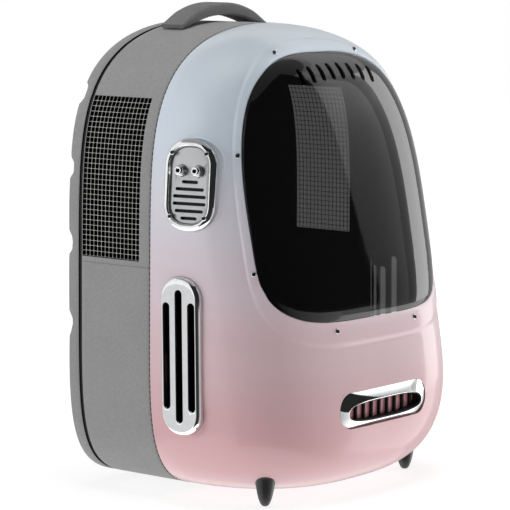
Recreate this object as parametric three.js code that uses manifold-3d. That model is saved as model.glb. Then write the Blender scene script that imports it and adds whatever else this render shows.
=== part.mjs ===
// Pet carrier backpack: a glossy hard front shell with a smoked bubble window, a soft grey
// gusset with net side panels, a zipped padded back, a grab handle and two shoulder straps.
// Millimetres, +Z up, front towards -Y, the origin on the floor below the middle of its box.

import * as THREE from 'three';
import { mergeVertices } from 'three/addons/utils/BufferGeometryUtils.js';
import Module from 'manifold-3d';

const wasm = await Module();
wasm.setup();

// Whole carrier
const BODY_HEIGHT = 428;
const BODY_HALF_WIDTH = 162.2;
const WIDEST_HEIGHT = 173;
const TOP_POWERS = { across: 2.12, up: 5.13 };
const BOTTOM_POWERS = { across: 5.18, up: 4.4 };
const SEAM_Y = 7.4;
const FLOOR_GAP = 4.4;
const GAP = 0.3;
const OUTLINE_POINTS = 48;
const OUTLINE_SAMPLES = 2880;
const OUTLINE_TURN_WEIGHT = 90;
const CUT_REACH = 20;
const MERGE_DISTANCE = 1e-4;
const SHORTEST_STRAIGHT = 0.01;

// Front shell
const SHELL_WALL = 3;
const PLAN_POWER = { side: 3.55, floor: 2.36, start: 110 };
const DEPTH_AT_GRILLE = 155.1;
const GRILLE_HEIGHT = 80;
const DEPTH_SLOPE = 0.246;
const DEPTH_CURVE = -0.46;
const TOP_ROUND = { start: 380.4, power: 2 };
const BOTTOM_ROUND = { start: 310, power: 5.14 };
const SHELL_RINGS = 9;
const RING_CROWDING = 2.6;

// Window and the raised bezel around it
const WINDOW_CENTRE = 240;
const WINDOW = { halfWidth: 133.7, up: 162.8, down: 78.1, upPower: 3, downPower: 4.3 };
const BEZEL = { halfWidth: 140.5, up: 174.6, down: 100.8, upPower: 2.85, downPower: 4.2 };
const BEZEL_RISE = 1.6;
const BEZEL_LIP = 0.7;
const BEZEL_FLAT = { from: 0.12, to: 0.82 };
const PANE_WALL = 2;
const PANE_GAP = 0.5;
const PANE_FLANGE = { width: 4.5, gap: 0.8 };
const BUBBLE = { rise: 18, power: 5, lowLoss: 0.8, lossPower: 1.5 };
const BUBBLE_RINGS = [0.35, 0.62, 0.8, 0.91, 0.975];
const BROW_SLOT = { count: 8, pitch: 15, width: 4, height: 15, middle: 386, droop: 0.0016 };

// Screws: a chrome head with a driver recess on a short shank, from the bottom up
const SCREW = { head: 2.75, shank: 1.5, length: 3.4, sides: 8 };
const SCREW_PROFILE = [
  { radius: 0, rise: -SCREW.length },
  { radius: SCREW.shank, rise: -SCREW.length },
  { radius: SCREW.shank, rise: 0 },
  { radius: SCREW.head, rise: 0 },
  { radius: SCREW.head, rise: 0.6 },
  { radius: 1.8, rise: 1.3 },
  { radius: 1.2, rise: 0.5 },
  { radius: 0, rise: 0.5 },
];
const RING_SCREW_PROFILE = [
  { radius: 0, rise: 0 },
  { radius: 2.2, rise: 0 },
  { radius: 2.2, rise: 0.6 },
  { radius: 1.5, rise: 1.1 },
  { radius: 0.9, rise: 0.4 },
  { radius: 0, rise: 0.4 },
];
const BEZEL_SCREWS = [
  { across: 61.3, height: 402.5 },
  { across: 132.9, height: 314.5 },
  { across: 135.8, height: 210.7 },
  { across: 60.7, height: 154.2 },
];

// Side vent plates
const VENT = { width: 43.6, height: 143.5, radius: 20, y: -38.4, z: 133.8, proud: 5.2, sunk: 9 };
const VENT_SLOT_WIDTH = 6.4;
const SLOT_DIVISIONS = 1;
const VENT_SLOTS = [
  { across: -14.2, height: 86 },
  { across: 0, height: 122 },
  { across: 14.2, height: 86 },
];

// Control panel on the left side
const PANEL = { width: 52, height: 82, radius: 23, y: -43.5, z: 288, proud: 2.4, sunk: 9 };
const PANEL_RING_WIDTH = 7;
const PLATE = { proud: 0.4, sunk: 3 };
const PLATE_SLOTS = {
  lengths: [16.5, 29, 33.5, 33.5, 29, 16.5],
  pitch: 6.5,
  top: 3,
  width: 3,
};
const RING_SCREWS = { across: 17.4, top: 28.8, bottom: -28.4 };
const BUTTON = { radius: 5.2, spacing: 17, height: 13, proud: 7.6, dome: 2.6, sides: 12 };
const BUTTON_HOLE = { clearance: 0.6, divisions: 7 };
const BUTTON_COLLAR = { radius: 7, thickness: 2, tail: 3.5 };
const BUTTON_DOME = [
  { across: 1, drop: 1 },
  { across: 0.87, drop: 0.55 },
  { across: 0.55, drop: 0.18 },
  { across: 0, drop: 0 },
];

// Front grille
const GRILLE = { halfWidth: 64.1, halfHeight: 16, z: 81.3, front: -149.4, rim: -146, back: -142.8 };
const GRILLE_DOME = [
  { inset: 0, share: 0 },
  { inset: 1.6, share: 0.6 },
  { inset: 4, share: 1 },
];
const GRILLE_DIVISIONS = 3;
const GRILLE_EYE = { halfWidth: 56.4, halfHeight: 9.3, drop: 2.5, power: 3, points: 22 };
const GRILLE_TRAY = { wall: 2.5, back: -127 };
const FINS = {
  count: 9, width: 4, pitch: 12.2, halfHeight: 8.4, arch: 84, front: -142.5, back: -137,
};

// Feet and rear rest
const FOOT = { x: 109.7, y: -93.5, sides: 12 };
const FOOT_PROFILE = [
  { radius: 2.4, rise: 0 },
  { radius: 4.4, rise: 2.6 },
  { radius: 6.4, rise: 7.7 },
  { radius: 8.5, rise: 18 },
  { radius: 10.2, rise: 33 },
];
const REAR_REST = { length: 120, width: 18, y: 60 };

// Gusset, net panels and zip
const GUSSET = { wall: 3.5, back: 83.3 };
const NET = { front: 14, back: 81.3, bottom: 217.5, top: 360, wall: 1.2, inset: 1.1, steps: 10 };
const ZIP = { front: 83.6, back: 87.2, inset: 0.9, wall: 2.6 };

// Padded back
const BACK = { front: 87.5, back: 100 };
const BACK_RIM = [
  { inset: 1.2, y: 87.5 },
  { inset: 0, y: 89 },
  { inset: 0, y: 97.4 },
  { inset: 0.9, y: 99.2 },
  { inset: 2.8, y: 100 },
];
const GROOVES = { heights: [151.5, 225.5, 296, 364], depth: 3.6, radius: 9.6, sides: 20 };

// Grab handle: rows from one end to the other
const HANDLE = { y: 58.5, width: 27, corner: 2, steps: 14 };
const HANDLE_ROWS = [
  { x: -63, z: 423.7, thick: 4 },
  { x: -54, z: 427.9, thick: 7 },
  { x: -40, z: 433.9, thick: 9 },
  { x: -20, z: 439, thick: 10.4 },
  { x: 0, z: 440.5, thick: 11 },
  { x: 20, z: 439, thick: 10.4 },
  { x: 40, z: 433.9, thick: 9 },
  { x: 54, z: 427.9, thick: 7 },
  { x: 63, z: 423.7, thick: 4 },
];

// Shoulder straps of the right side, top to bottom; the left side mirrors them
const STRAP_ROWS = [
  { x: 44, y: 106.5, z: 394, width: 50, thick: 12 },
  { x: 47, y: 108.5, z: 372, width: 54, thick: 12 },
  { x: 54, y: 119, z: 334, width: 58, thick: 12 },
  { x: 62, y: 127, z: 285, width: 58, thick: 12 },
  { x: 70, y: 128, z: 236, width: 54, thick: 12 },
  { x: 77, y: 121.5, z: 196, width: 46, thick: 11 },
  { x: 82, y: 114, z: 165, width: 36, thick: 9 },
];
const ADJUSTER_ROWS = [
  { x: 82.2, y: 113.8, z: 164.1, width: 34, thick: 7 },
  { x: 84.6, y: 110.9, z: 147, width: 34, thick: 7 },
];
const WEBBING_ROWS = [
  { x: 84.8, y: 110.8, z: 146.2, width: 25, thick: 2.2 },
  { x: 87.3, y: 109.4, z: 128, width: 25, thick: 2.2 },
  { x: 97, y: 106.4, z: 96, width: 25, thick: 2.2 },
  { x: 110, y: 103.1, z: 62, width: 25, thick: 2.2 },
  { x: 117, y: 101.7, z: 42, width: 25, thick: 2.2 },
];
const STRAP = { corner: 3, steps: 11 };
const ADJUSTER = { corner: 1, steps: 1 };
const WEBBING = { corner: 0.6, steps: 5 };
const CHAMFER_SHARE = 0.9;

// Finishes
const finish = (color, roughness, metalness) =>
  new THREE.MeshStandardMaterial({ color, roughness, metalness });
const shellPaint = finish(0xc3bcc6, 0.25, 0);
const smokedPane = finish(0x1d1b1c, 0.12, 0);
const chrome = finish(0xd9dcde, 0.12, 1);
const satinMetal = finish(0xa9acae, 0.35, 1);
const blackPlastic = finish(0x161617, 0.4, 0);
const greyFabric = finish(0x8f8f8d, 0.9, 0);
const netFabric = finish(0x77777a, 0.9, 0);
const zipTape = finish(0x0d0d0e, 0.6, 0);
const rubber = finish(0x202022, 0.8, 0);

// Closed bodies from loops of points, turned so that the faces point out
function closedGeometry(points, triangles) {
  let volume = 0;
  for (const [a, b, c] of triangles) {
    volume += points[a].dot(points[b].clone().cross(points[c]));
  }
  const places = points.flatMap((point) => point.toArray());
  const geometry = new THREE.BufferGeometry();
  geometry.setAttribute('position', new THREE.Float32BufferAttribute(places, 3));
  geometry.setIndex(triangles.flatMap(([a, b, c]) => (volume > 0 ? [a, b, c] : [a, c, b])));
  return geometry;
}

function bandTriangles(from, to, count) {
  const triangles = [];
  for (let i = 0; i < count; i += 1) {
    const next = (i + 1) % count;
    triangles.push([from + i, from + next, to + i], [from + next, to + next, to + i]);
  }
  return triangles;
}

// Loops joined in order, the last one back to the first
function ringBody(loops) {
  const count = loops[0].length;
  const triangles = loops.flatMap((loop, i) =>
    bandTriangles(i * count, ((i + 1) % loops.length) * count, count));
  return closedGeometry(loops.flat(), triangles);
}

// Loops joined in order, with a fan to a middle point at each end
function cappedBody(firstMiddle, loops, lastMiddle) {
  const count = loops[0].length;
  const points = [...loops.flat(), firstMiddle, lastMiddle];
  const last = (loops.length - 1) * count;
  const triangles = [];
  for (let i = 0; i < loops.length - 1; i += 1) {
    triangles.push(...bandTriangles(i * count, (i + 1) * count, count));
  }
  for (let i = 0; i < count; i += 1) {
    const next = (i + 1) % count;
    triangles.push([points.length - 2, next, i], [points.length - 1, last + i, last + next]);
  }
  return closedGeometry(points, triangles);
}

// Cutting and joining
function solidOf(geometry) {
  const plain = geometry.clone();
  plain.deleteAttribute('normal');
  plain.deleteAttribute('uv');
  const merged = mergeVertices(plain, MERGE_DISTANCE);
  return new wasm.Manifold(new wasm.Mesh({
    numProp: 3,
    vertProperties: new Float32Array(merged.attributes.position.array),
    triVerts: new Uint32Array(merged.index.array),
  }));
}

function geometryOf(solid) {
  const mesh = solid.getMesh();
  const places = new Float32Array(mesh.vertProperties);
  const triangles = new Uint32Array(mesh.triVerts);
  const geometry = new THREE.BufferGeometry();
  geometry.setAttribute('position', new THREE.BufferAttribute(places, 3));
  geometry.setIndex(new THREE.BufferAttribute(triangles, 1));
  return geometry;
}

function cutFrom(solid, geometries) {
  return geometries.reduce((rest, geometry) => rest.subtract(solidOf(geometry)), solid);
}

// Body outline: two superellipse halves that meet at the widest height
function halfWidthAt(z) {
  const above = z >= WIDEST_HEIGHT;
  const reach = above ? (z - WIDEST_HEIGHT) / (BODY_HEIGHT - WIDEST_HEIGHT) : 1 - z / WIDEST_HEIGHT;
  const powers = above ? TOP_POWERS : BOTTOM_POWERS;
  const left = Math.max(0, 1 - Math.min(reach, 1) ** powers.up);
  return BODY_HALF_WIDTH * left ** (1 / powers.across);
}

function outlineCurve(turn) {
  const sine = Math.cos(turn);
  const cosine = Math.sin(turn);
  const powers = sine >= 0 ? TOP_POWERS : BOTTOM_POWERS;
  const reach = sine >= 0 ? BODY_HEIGHT - WIDEST_HEIGHT : WIDEST_HEIGHT;
  const x = BODY_HALF_WIDTH * Math.sign(cosine) * Math.abs(cosine) ** (2 / powers.across);
  const z = WIDEST_HEIGHT + reach * Math.sign(sine) * Math.abs(sine) ** (2 / powers.up);
  return new THREE.Vector2(x, z);
}

// Outline points spread by length and by turn, each with its outward direction
function spreadOutline(count) {
  const fineCount = OUTLINE_SAMPLES;
  const fine = Array.from({ length: fineCount }, (_, i) =>
    outlineCurve((2 * Math.PI * i) / fineCount));
  const along = fine.map((p, i) => fine[(i + 1) % fineCount].clone().sub(p));
  const weights = along.map((step, i) => {
    const before = along[(i + fineCount - 1) % fineCount];
    const bend = Math.abs(Math.atan2(before.cross(step), before.dot(step)));
    return step.length() + OUTLINE_TURN_WEIGHT * bend;
  });
  const total = weights.reduce((sum, w) => sum + w, 0);
  const picked = [];
  let sum = 0;
  for (let i = 0; i < fineCount && picked.length < count; i += 1) {
    if (sum >= (picked.length * total) / count) {
      const chord = fine[(i + 1) % fineCount].clone().sub(fine[(i + fineCount - 1) % fineCount]);
      picked.push({ at: fine[i], out: new THREE.Vector2(-chord.y, chord.x).normalize() });
    }
    sum += weights[i];
  }
  return picked;
}

const outline = spreadOutline(OUTLINE_POINTS);

function outlineLoop(inset, y) {
  return outline.map(({ at, out }) =>
    new THREE.Vector3(at.x - inset * out.x, y, at.y - inset * out.y));
}

// Shell surface: a superellipse in plan whose depth follows the height
function depthAt(z) {
  const height = z - GRILLE_HEIGHT;
  const base = DEPTH_AT_GRILLE - DEPTH_SLOPE * height + DEPTH_CURVE * (height / 100) ** 2;
  const top = Math.max(0, (z - TOP_ROUND.start) / (BODY_HEIGHT - TOP_ROUND.start));
  const bottom = Math.max(0, 1 - z / BOTTOM_ROUND.start);
  const topLeft = Math.max(0, 1 - top ** TOP_ROUND.power) ** (1 / TOP_ROUND.power);
  const bottomLeft = Math.max(0, 1 - bottom ** BOTTOM_ROUND.power) ** (1 / BOTTOM_ROUND.power);
  return base * topLeft * bottomLeft;
}

function planPowerAt(z) {
  const low = Math.max(0, 1 - z / PLAN_POWER.start);
  return THREE.MathUtils.lerp(PLAN_POWER.side, PLAN_POWER.floor, low ** 2);
}

function skinNormal(x, y, z) {
  const step = 0.05;
  const width = halfWidthAt(z);
  const depth = depthAt(z);
  const power = planPowerAt(z);
  const across = Math.min(Math.abs(x) / width, 1);
  const forward = Math.min(-y / depth, 1);
  const slopeOf = (curve) => (curve(z + step) - curve(z - step)) / (2 * step * curve(z));
  const bend = (share) => (share > 0 ? share ** power * Math.log(share) : 0);
  const squaring = slopeOf(planPowerAt) * (bend(across) + bend(forward));
  return new THREE.Vector3(
    (Math.sign(x) * across ** (power - 1)) / width,
    -(forward ** (power - 1)) / depth,
    squaring - across ** power * slopeOf(halfWidthAt) - forward ** power * slopeOf(depthAt),
  ).normalize();
}

function skinPoint(x, z, rise) {
  const power = planPowerAt(z);
  const across = Math.min(Math.abs(x) / halfWidthAt(z), 1);
  const y = -depthAt(z) * (1 - across ** power) ** (1 / power);
  return new THREE.Vector3(x, y, z).addScaledVector(skinNormal(x, y, z), rise);
}

// Window and bezel outlines seen from the front, as a distance from the window's middle
function reachOf(shape, direction) {
  const up = direction.y >= 0;
  const power = up ? shape.upPower : shape.downPower;
  const side = (Math.abs(direction.x) / shape.halfWidth) ** power;
  const rise = (Math.abs(direction.y) / (up ? shape.up : shape.down)) ** power;
  return (side + rise) ** (-1 / power);
}

const spokes = outline.map(({ at }) => {
  const seam = new THREE.Vector2(at.x, at.y - WINDOW_CENTRE);
  const direction = seam.clone().normalize();
  return {
    direction,
    seam: seam.length(),
    window: reachOf(WINDOW, direction),
    bezel: reachOf(BEZEL, direction),
  };
});

function spokeLoop(reach, rise) {
  return spokes.map((spoke) => {
    const r = reach(spoke);
    return skinPoint(spoke.direction.x * r, WINDOW_CENTRE + spoke.direction.y * r, rise);
  });
}

const inBezel = (share) => (spoke) => spoke.window + share * (spoke.bezel - spoke.window);
const onShell = (share) => (spoke) => spoke.bezel + share * (spoke.seam - spoke.bezel);
const shellShare = (ring) => 1 - (1 - ring / SHELL_RINGS) ** RING_CROWDING;

// The whole front as one block, used to trim what meets the shell
function frontBlock(rise) {
  const loops = [spokeLoop(inBezel(0), rise), spokeLoop(inBezel(1), rise)];
  for (let ring = 1; ring < SHELL_RINGS; ring += 1) {
    loops.push(spokeLoop(onShell(shellShare(ring)), rise));
  }
  loops.push(outlineLoop(-rise, 0));
  return cappedBody(skinPoint(0, WINDOW_CENTRE, rise), loops, new THREE.Vector3(0, 0, WINDOW_CENTRE));
}

function shellBody() {
  const outer = [
    spokeLoop(inBezel(0), BEZEL_LIP),
    spokeLoop(inBezel(BEZEL_FLAT.from), BEZEL_RISE),
    spokeLoop(inBezel(BEZEL_FLAT.to), BEZEL_RISE),
    spokeLoop(inBezel(1), 0),
  ];
  const inner = [0, 0.5, 1].map((share) => spokeLoop(inBezel(share), -SHELL_WALL));
  for (let ring = 1; ring < SHELL_RINGS; ring += 1) {
    outer.push(spokeLoop(onShell(shellShare(ring)), 0));
    if (ring % 2 === 1) {
      inner.push(spokeLoop(onShell(shellShare(ring)), -SHELL_WALL));
    }
  }
  outer.push(outlineLoop(0, 0));
  inner.push(outlineLoop(SHELL_WALL, 0));
  return ringBody([...outer, ...inner.reverse()]);
}

// Flat outlines: a rounded rectangle, with round ends where the radius is half its width
function racetrack(halfWidth, halfHeight, corner, Kind = THREE.Shape) {
  const shape = new Kind();
  const radius = Math.min(corner, halfWidth - SHORTEST_STRAIGHT, halfHeight - SHORTEST_STRAIGHT);
  const x = halfWidth - radius;
  const y = halfHeight - radius;
  shape.moveTo(x, -halfHeight);
  shape.absarc(x, -y, radius, -Math.PI / 2, 0, false);
  shape.absarc(x, y, radius, 0, Math.PI / 2, false);
  shape.absarc(-x, y, radius, Math.PI / 2, Math.PI, false);
  shape.absarc(-x, -y, radius, Math.PI, 1.5 * Math.PI, false);
  return shape;
}

function movedHole(path, x, y, divisions) {
  return new THREE.Path(path.getPoints(divisions).map((p) => new THREE.Vector2(p.x + x, p.y + y)));
}

function ovalHole(x, y, halfWidth, halfHeight, divisions) {
  const hole = new THREE.Path();
  hole.absellipse(x, y, halfWidth, halfHeight, 0, 2 * Math.PI, true, 0);
  return new THREE.Path(hole.getPoints(divisions));
}

function slotHole(x, y, width, height) {
  const slot = racetrack(width / 2, height / 2, Math.min(width, height) / 2, THREE.Path);
  return movedHole(slot, x, y, SLOT_DIVISIONS);
}

function plate(shape, from, to, divisions = 3) {
  const geometry = new THREE.ExtrudeGeometry(shape, {
    depth: to - from,
    bevelEnabled: false,
    curveSegments: divisions,
  });
  return geometry.translate(0, 0, from);
}

// Frames on the shell: local Z points out, local Y up along the skin
function frameAt(point, normal) {
  const up = new THREE.Vector3(0, 0, 1).addScaledVector(normal, -normal.z).normalize();
  const across = up.clone().cross(normal);
  return new THREE.Matrix4().makeBasis(across, up, normal).setPosition(point);
}

function sideFrame(side, y, z) {
  const power = planPowerAt(z);
  const forward = Math.abs(y) / depthAt(z);
  const x = side * halfWidthAt(z) * (1 - forward ** power) ** (1 / power);
  return frameAt(new THREE.Vector3(x, y, z), skinNormal(x, y, z));
}

function skinFrame(x, z, rise) {
  const seat = skinPoint(x, z, 0);
  const normal = skinNormal(seat.x, seat.y, seat.z);
  return frameAt(seat.addScaledVector(normal, rise), normal);
}

const frontFrame = new THREE.Matrix4().makeBasis(
  new THREE.Vector3(1, 0, 0),
  new THREE.Vector3(0, 0, 1),
  new THREE.Vector3(0, -1, 0),
).setPosition(0, 0, GRILLE.z);

// Turned from rows of radius and rise, from the bottom up
function lathe(rows, sides) {
  const profile = rows.map(({ radius, rise }) => new THREE.Vector2(radius, rise));
  return new THREE.LatheGeometry(profile, sides).rotateX(Math.PI / 2);
}

function turnedBody(rows, sides) {
  return geometryOf(solidOf(lathe(rows, sides)));
}

// Straps and handle: a chamfered band carried along a curve through the rows
function bandSection(width, thick, corner) {
  const w = width / 2;
  const t = thick / 2;
  const c = Math.min(corner, t * CHAMFER_SHARE);
  const side = [[w - c, t], [w, t - c], [w, c - t], [w - c, -t]];
  return [...side, ...side.map(([across, outward]) => [-across, -outward])];
}

function bandBody(rows, widthAxis, corner, steps) {
  const curve = new THREE.CatmullRomCurve3(rows.map((r) => new THREE.Vector3(r.x, r.y, r.z)));
  const loops = [];
  for (let i = 0; i <= steps; i += 1) {
    const share = i / steps;
    const place = share * (rows.length - 1);
    const low = Math.min(Math.floor(place), rows.length - 2);
    const mix = (key) => THREE.MathUtils.lerp(rows[low][key], rows[low + 1][key], place - low);
    const middle = curve.getPoint(share);
    const tangent = curve.getTangent(share);
    const across = widthAxis.clone().addScaledVector(tangent, -widthAxis.dot(tangent)).normalize();
    const outward = tangent.clone().cross(across);
    loops.push(bandSection(mix('width'), mix('thick'), corner).map(([a, b]) =>
      middle.clone().addScaledVector(across, a).addScaledVector(outward, b)));
  }
  return cappedBody(curve.getPoint(0), loops, curve.getPoint(1));
}

// Assembly
const carrier = new THREE.Group();
const body = new THREE.Group();
body.position.set(0, SEAM_Y, FLOOR_GAP);
carrier.add(body);

function addPiece(name, geometry, material, frame = new THREE.Matrix4()) {
  const piece = new THREE.Mesh(geometry, material);
  piece.name = name;
  piece.applyMatrix4(frame);
  body.add(piece);
}

// Screws
const screw = turnedBody(SCREW_PROFILE, SCREW.sides);
const screwHole = turnedBody([
  { radius: 0, rise: -CUT_REACH },
  { radius: SCREW.shank + GAP, rise: -CUT_REACH },
  { radius: SCREW.shank + GAP, rise: CUT_REACH },
  { radius: 0, rise: CUT_REACH },
], SCREW.sides);
const bezelScrewFrames = BEZEL_SCREWS.flatMap(({ across, height }) =>
  [-across, across].map((x) => skinFrame(x, height, BEZEL_RISE + GAP)));
bezelScrewFrames.forEach((frame, i) => addPiece(`window_screw_${i + 1}`, screw, chrome, frame));

// Side vents
function ventPlate() {
  const shape = racetrack(VENT.width / 2, VENT.height / 2, VENT.radius);
  for (const { across, height } of VENT_SLOTS) {
    shape.holes.push(slotHole(across, 0, VENT_SLOT_WIDTH, height));
  }
  return plate(shape, -VENT.sunk, VENT.proud);
}
const ventHole = plate(
  racetrack(VENT.width / 2 + GAP, VENT.height / 2 + GAP, VENT.radius + GAP), -CUT_REACH, CUT_REACH);
const ventFrames = [-1, 1].map((side) => sideFrame(side, VENT.y, VENT.z));
addPiece('side_vent_left', ventPlate(), chrome, ventFrames[0]);
addPiece('side_vent_right', ventPlate(), chrome, ventFrames[1]);

// Control panel
const panelFrame = sideFrame(-1, PANEL.y, PANEL.z);
const ringInner = {
  halfWidth: PANEL.width / 2 - PANEL_RING_WIDTH,
  halfHeight: PANEL.height / 2 - PANEL_RING_WIDTH,
  radius: PANEL.radius - PANEL_RING_WIDTH,
};
function panelRing() {
  const shape = racetrack(PANEL.width / 2, PANEL.height / 2, PANEL.radius);
  const { halfWidth, halfHeight, radius } = ringInner;
  shape.holes.push(racetrack(halfWidth, halfHeight, radius, THREE.Path));
  return plate(shape, -PANEL.sunk, PANEL.proud);
}
const buttonSpots = { button_front: BUTTON.spacing / 2, button_rear: -BUTTON.spacing / 2 };
function panelPlate() {
  const { halfWidth, halfHeight, radius } = ringInner;
  const shape = racetrack(halfWidth - GAP, halfHeight - GAP, radius - GAP);
  PLATE_SLOTS.lengths.forEach((length, i) => {
    shape.holes.push(slotHole(0, PLATE_SLOTS.top - i * PLATE_SLOTS.pitch, length, PLATE_SLOTS.width));
  });
  const reach = BUTTON.radius + BUTTON_HOLE.clearance;
  for (const x of Object.values(buttonSpots)) {
    shape.holes.push(ovalHole(x, BUTTON.height, reach, reach, BUTTON_HOLE.divisions));
  }
  return plate(shape, -PLATE.sunk, PLATE.proud);
}
const panelHole = plate(
  racetrack(PANEL.width / 2 + GAP, PANEL.height / 2 + GAP, PANEL.radius + GAP), -CUT_REACH, CUT_REACH);
const collarTop = -PLATE.sunk - GAP;
const collarBottom = collarTop - BUTTON_COLLAR.thickness;
const button = turnedBody([
  { radius: 0, rise: collarBottom - BUTTON_COLLAR.tail },
  { radius: BUTTON.radius, rise: collarBottom - BUTTON_COLLAR.tail },
  { radius: BUTTON.radius, rise: collarBottom },
  { radius: BUTTON_COLLAR.radius, rise: collarBottom },
  { radius: BUTTON_COLLAR.radius, rise: collarTop },
  { radius: BUTTON.radius, rise: collarTop },
  ...BUTTON_DOME.map(({ across, drop }) =>
    ({ radius: BUTTON.radius * across, rise: BUTTON.proud - BUTTON.dome * drop })),
], BUTTON.sides);
addPiece('panel_ring', panelRing(), chrome, panelFrame);
addPiece('panel_plate', panelPlate(), satinMetal, panelFrame);
for (const [name, x] of Object.entries(buttonSpots)) {
  addPiece(name, button, chrome, panelFrame.clone().multiply(
    new THREE.Matrix4().makeTranslation(x, BUTTON.height, 0)));
}
const ringScrew = turnedBody(RING_SCREW_PROFILE, SCREW.sides);
const ringScrewSpots = [RING_SCREWS.top, RING_SCREWS.bottom].flatMap((y) =>
  [-RING_SCREWS.across, RING_SCREWS.across].map((x) => new THREE.Vector3(x, y, PANEL.proud + GAP)));
ringScrewSpots.forEach((spot, i) => addPiece(`panel_screw_${i + 1}`, ringScrew, chrome,
  panelFrame.clone().multiply(new THREE.Matrix4().setPosition(spot))));

// Grille
function grilleTrack(margin) {
  const halfHeight = GRILLE.halfHeight + margin;
  return racetrack(GRILLE.halfWidth + margin, halfHeight, halfHeight);
}
function grilleEye() {
  const { halfWidth, halfHeight, drop, power, points } = GRILLE_EYE;
  const bow = (share) => Math.sign(share) * Math.abs(share) ** (2 / power);
  return new THREE.Shape(Array.from({ length: points }, (_, i) => {
    const turn = (2 * Math.PI * (i + 0.5)) / points;
    return new THREE.Vector2(halfWidth * bow(Math.cos(turn)), halfHeight * bow(Math.sin(turn)) - drop);
  }));
}
function grilleBezel() {
  const loopAt = (inset, y) => grilleTrack(-inset).getPoints(GRILLE_DIVISIONS)
    .map((p) => new THREE.Vector3(p.x, p.y, -y));
  const loops = [loopAt(0, GRILLE.back), ...GRILLE_DOME.map(({ inset, share }) =>
    loopAt(inset, THREE.MathUtils.lerp(GRILLE.rim, GRILLE.front, share)))];
  const dome = cappedBody(
    new THREE.Vector3(0, 0, -GRILLE.back), loops, new THREE.Vector3(0, 0, -GRILLE.front));
  const eye = plate(grilleEye(), -GRILLE.back - CUT_REACH, -GRILLE.front + CUT_REACH);
  return geometryOf(cutFrom(solidOf(dome), [eye]));
}
function grilleFins() {
  const shape = grilleTrack(-GAP);
  const corner = (x, up) => {
    const rise = FINS.halfHeight * Math.sqrt(1 - (x / FINS.arch) ** 2);
    return new THREE.Vector2(x, up * rise - GRILLE_EYE.drop);
  };
  for (let i = 0; i <= FINS.count; i += 1) {
    const left = (i - FINS.count / 2) * FINS.pitch - (FINS.pitch - FINS.width) / 2;
    const right = left + FINS.pitch - FINS.width;
    shape.holes.push(new THREE.Path([
      corner(left, -1), corner(left, 1), corner(right, 1), corner(right, -1),
    ]));
  }
  return plate(shape, -FINS.back, -FINS.front);
}
function grilleBlock(margin, back, front) {
  return plate(grilleTrack(margin), -back, -front).applyMatrix4(frontFrame);
}
addPiece('grille_bezel', grilleBezel(), chrome, frontFrame);
addPiece('grille_fins', grilleFins(), blackPlastic, frontFrame);

// Front shell with its openings and the closed tray behind the grille
function frontShell() {
  const ahead = GRILLE.front - CUT_REACH;
  const tray = solidOf(grilleBlock(GAP + GRILLE_TRAY.wall, GRILLE_TRAY.back, ahead))
    .intersect(solidOf(frontBlock(-SHELL_WALL / 2)));
  const holes = [
    ...ventFrames.map((frame) => ventHole.clone().applyMatrix4(frame)),
    panelHole.clone().applyMatrix4(panelFrame),
    ...bezelScrewFrames.map((frame) => screwHole.clone().applyMatrix4(frame)),
    grilleBlock(GAP, GRILLE_TRAY.back - GRILLE_TRAY.wall, ahead),
  ];
  return geometryOf(cutFrom(solidOf(shellBody()).add(tray), holes));
}
addPiece('front_shell', frontShell(), shellPaint);

// Window: a bubble, fuller at the brow, with a flange behind the bezel and a row of slots
function bubbleRise(z) {
  const up = (z - WINDOW_CENTRE + WINDOW.down) / (WINDOW.up + WINDOW.down);
  const low = 1 - THREE.MathUtils.clamp(up, 0, 1);
  return BUBBLE.rise * (1 - BUBBLE.lowLoss * low ** BUBBLE.lossPower);
}
function bubbleLoop(share, trim, setBack) {
  const edge = (1 - share ** BUBBLE.power) ** 0.5;
  return spokeLoop((spoke) => share * (spoke.window - trim), 0).map((p) =>
    p.setY(p.y - edge * bubbleRise(p.z) + setBack));
}
function windowPane() {
  const behind = -SHELL_WALL - PANE_FLANGE.gap;
  const trimmed = (extra) => (spoke) => spoke.window - PANE_GAP + extra;
  const loops = [
    ...BUBBLE_RINGS.map((share) => bubbleLoop(share, PANE_GAP, 0)),
    spokeLoop(trimmed(0), 0),
    spokeLoop(trimmed(0), behind),
    spokeLoop(trimmed(PANE_FLANGE.width), behind),
    spokeLoop(trimmed(PANE_FLANGE.width), behind - PANE_WALL),
    spokeLoop(trimmed(-PANE_WALL), behind - PANE_WALL),
    ...BUBBLE_RINGS.map((share) => bubbleLoop(share, PANE_GAP + PANE_WALL, PANE_WALL)).reverse(),
  ];
  const front = skinPoint(0, WINDOW_CENTRE, 0);
  front.y -= bubbleRise(WINDOW_CENTRE);
  const pane = cappedBody(front, loops, front.clone().setY(front.y + PANE_WALL));
  const slots = Array.from({ length: BROW_SLOT.count }, (_, i) => {
    const x = (i - (BROW_SLOT.count - 1) / 2) * BROW_SLOT.pitch;
    const z = BROW_SLOT.middle - BROW_SLOT.droop * x * x;
    const shape = racetrack(BROW_SLOT.width / 2, BROW_SLOT.height / 2, BROW_SLOT.width / 2);
    const slot = plate(shape, 0, DEPTH_AT_GRILLE, SLOT_DIVISIONS);
    return slot.applyMatrix4(frontFrame).translate(x, 0, z - GRILLE.z);
  });
  return geometryOf(cutFrom(solidOf(pane), slots));
}
addPiece('window', windowPane(), smokedPane);

// Feet, trimmed to the shell above them
function foot(x) {
  const top = { radius: 0, rise: FOOT_PROFILE.at(-1).rise };
  const rows = [{ radius: 0, rise: 0 }, ...FOOT_PROFILE, top];
  const cone = lathe(rows, FOOT.sides).translate(x, FOOT.y, -FLOOR_GAP);
  return geometryOf(cutFrom(solidOf(cone), [frontBlock(GAP)]));
}
addPiece('foot_left', foot(-FOOT.x), blackPlastic);
addPiece('foot_right', foot(FOOT.x), blackPlastic);

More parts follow.
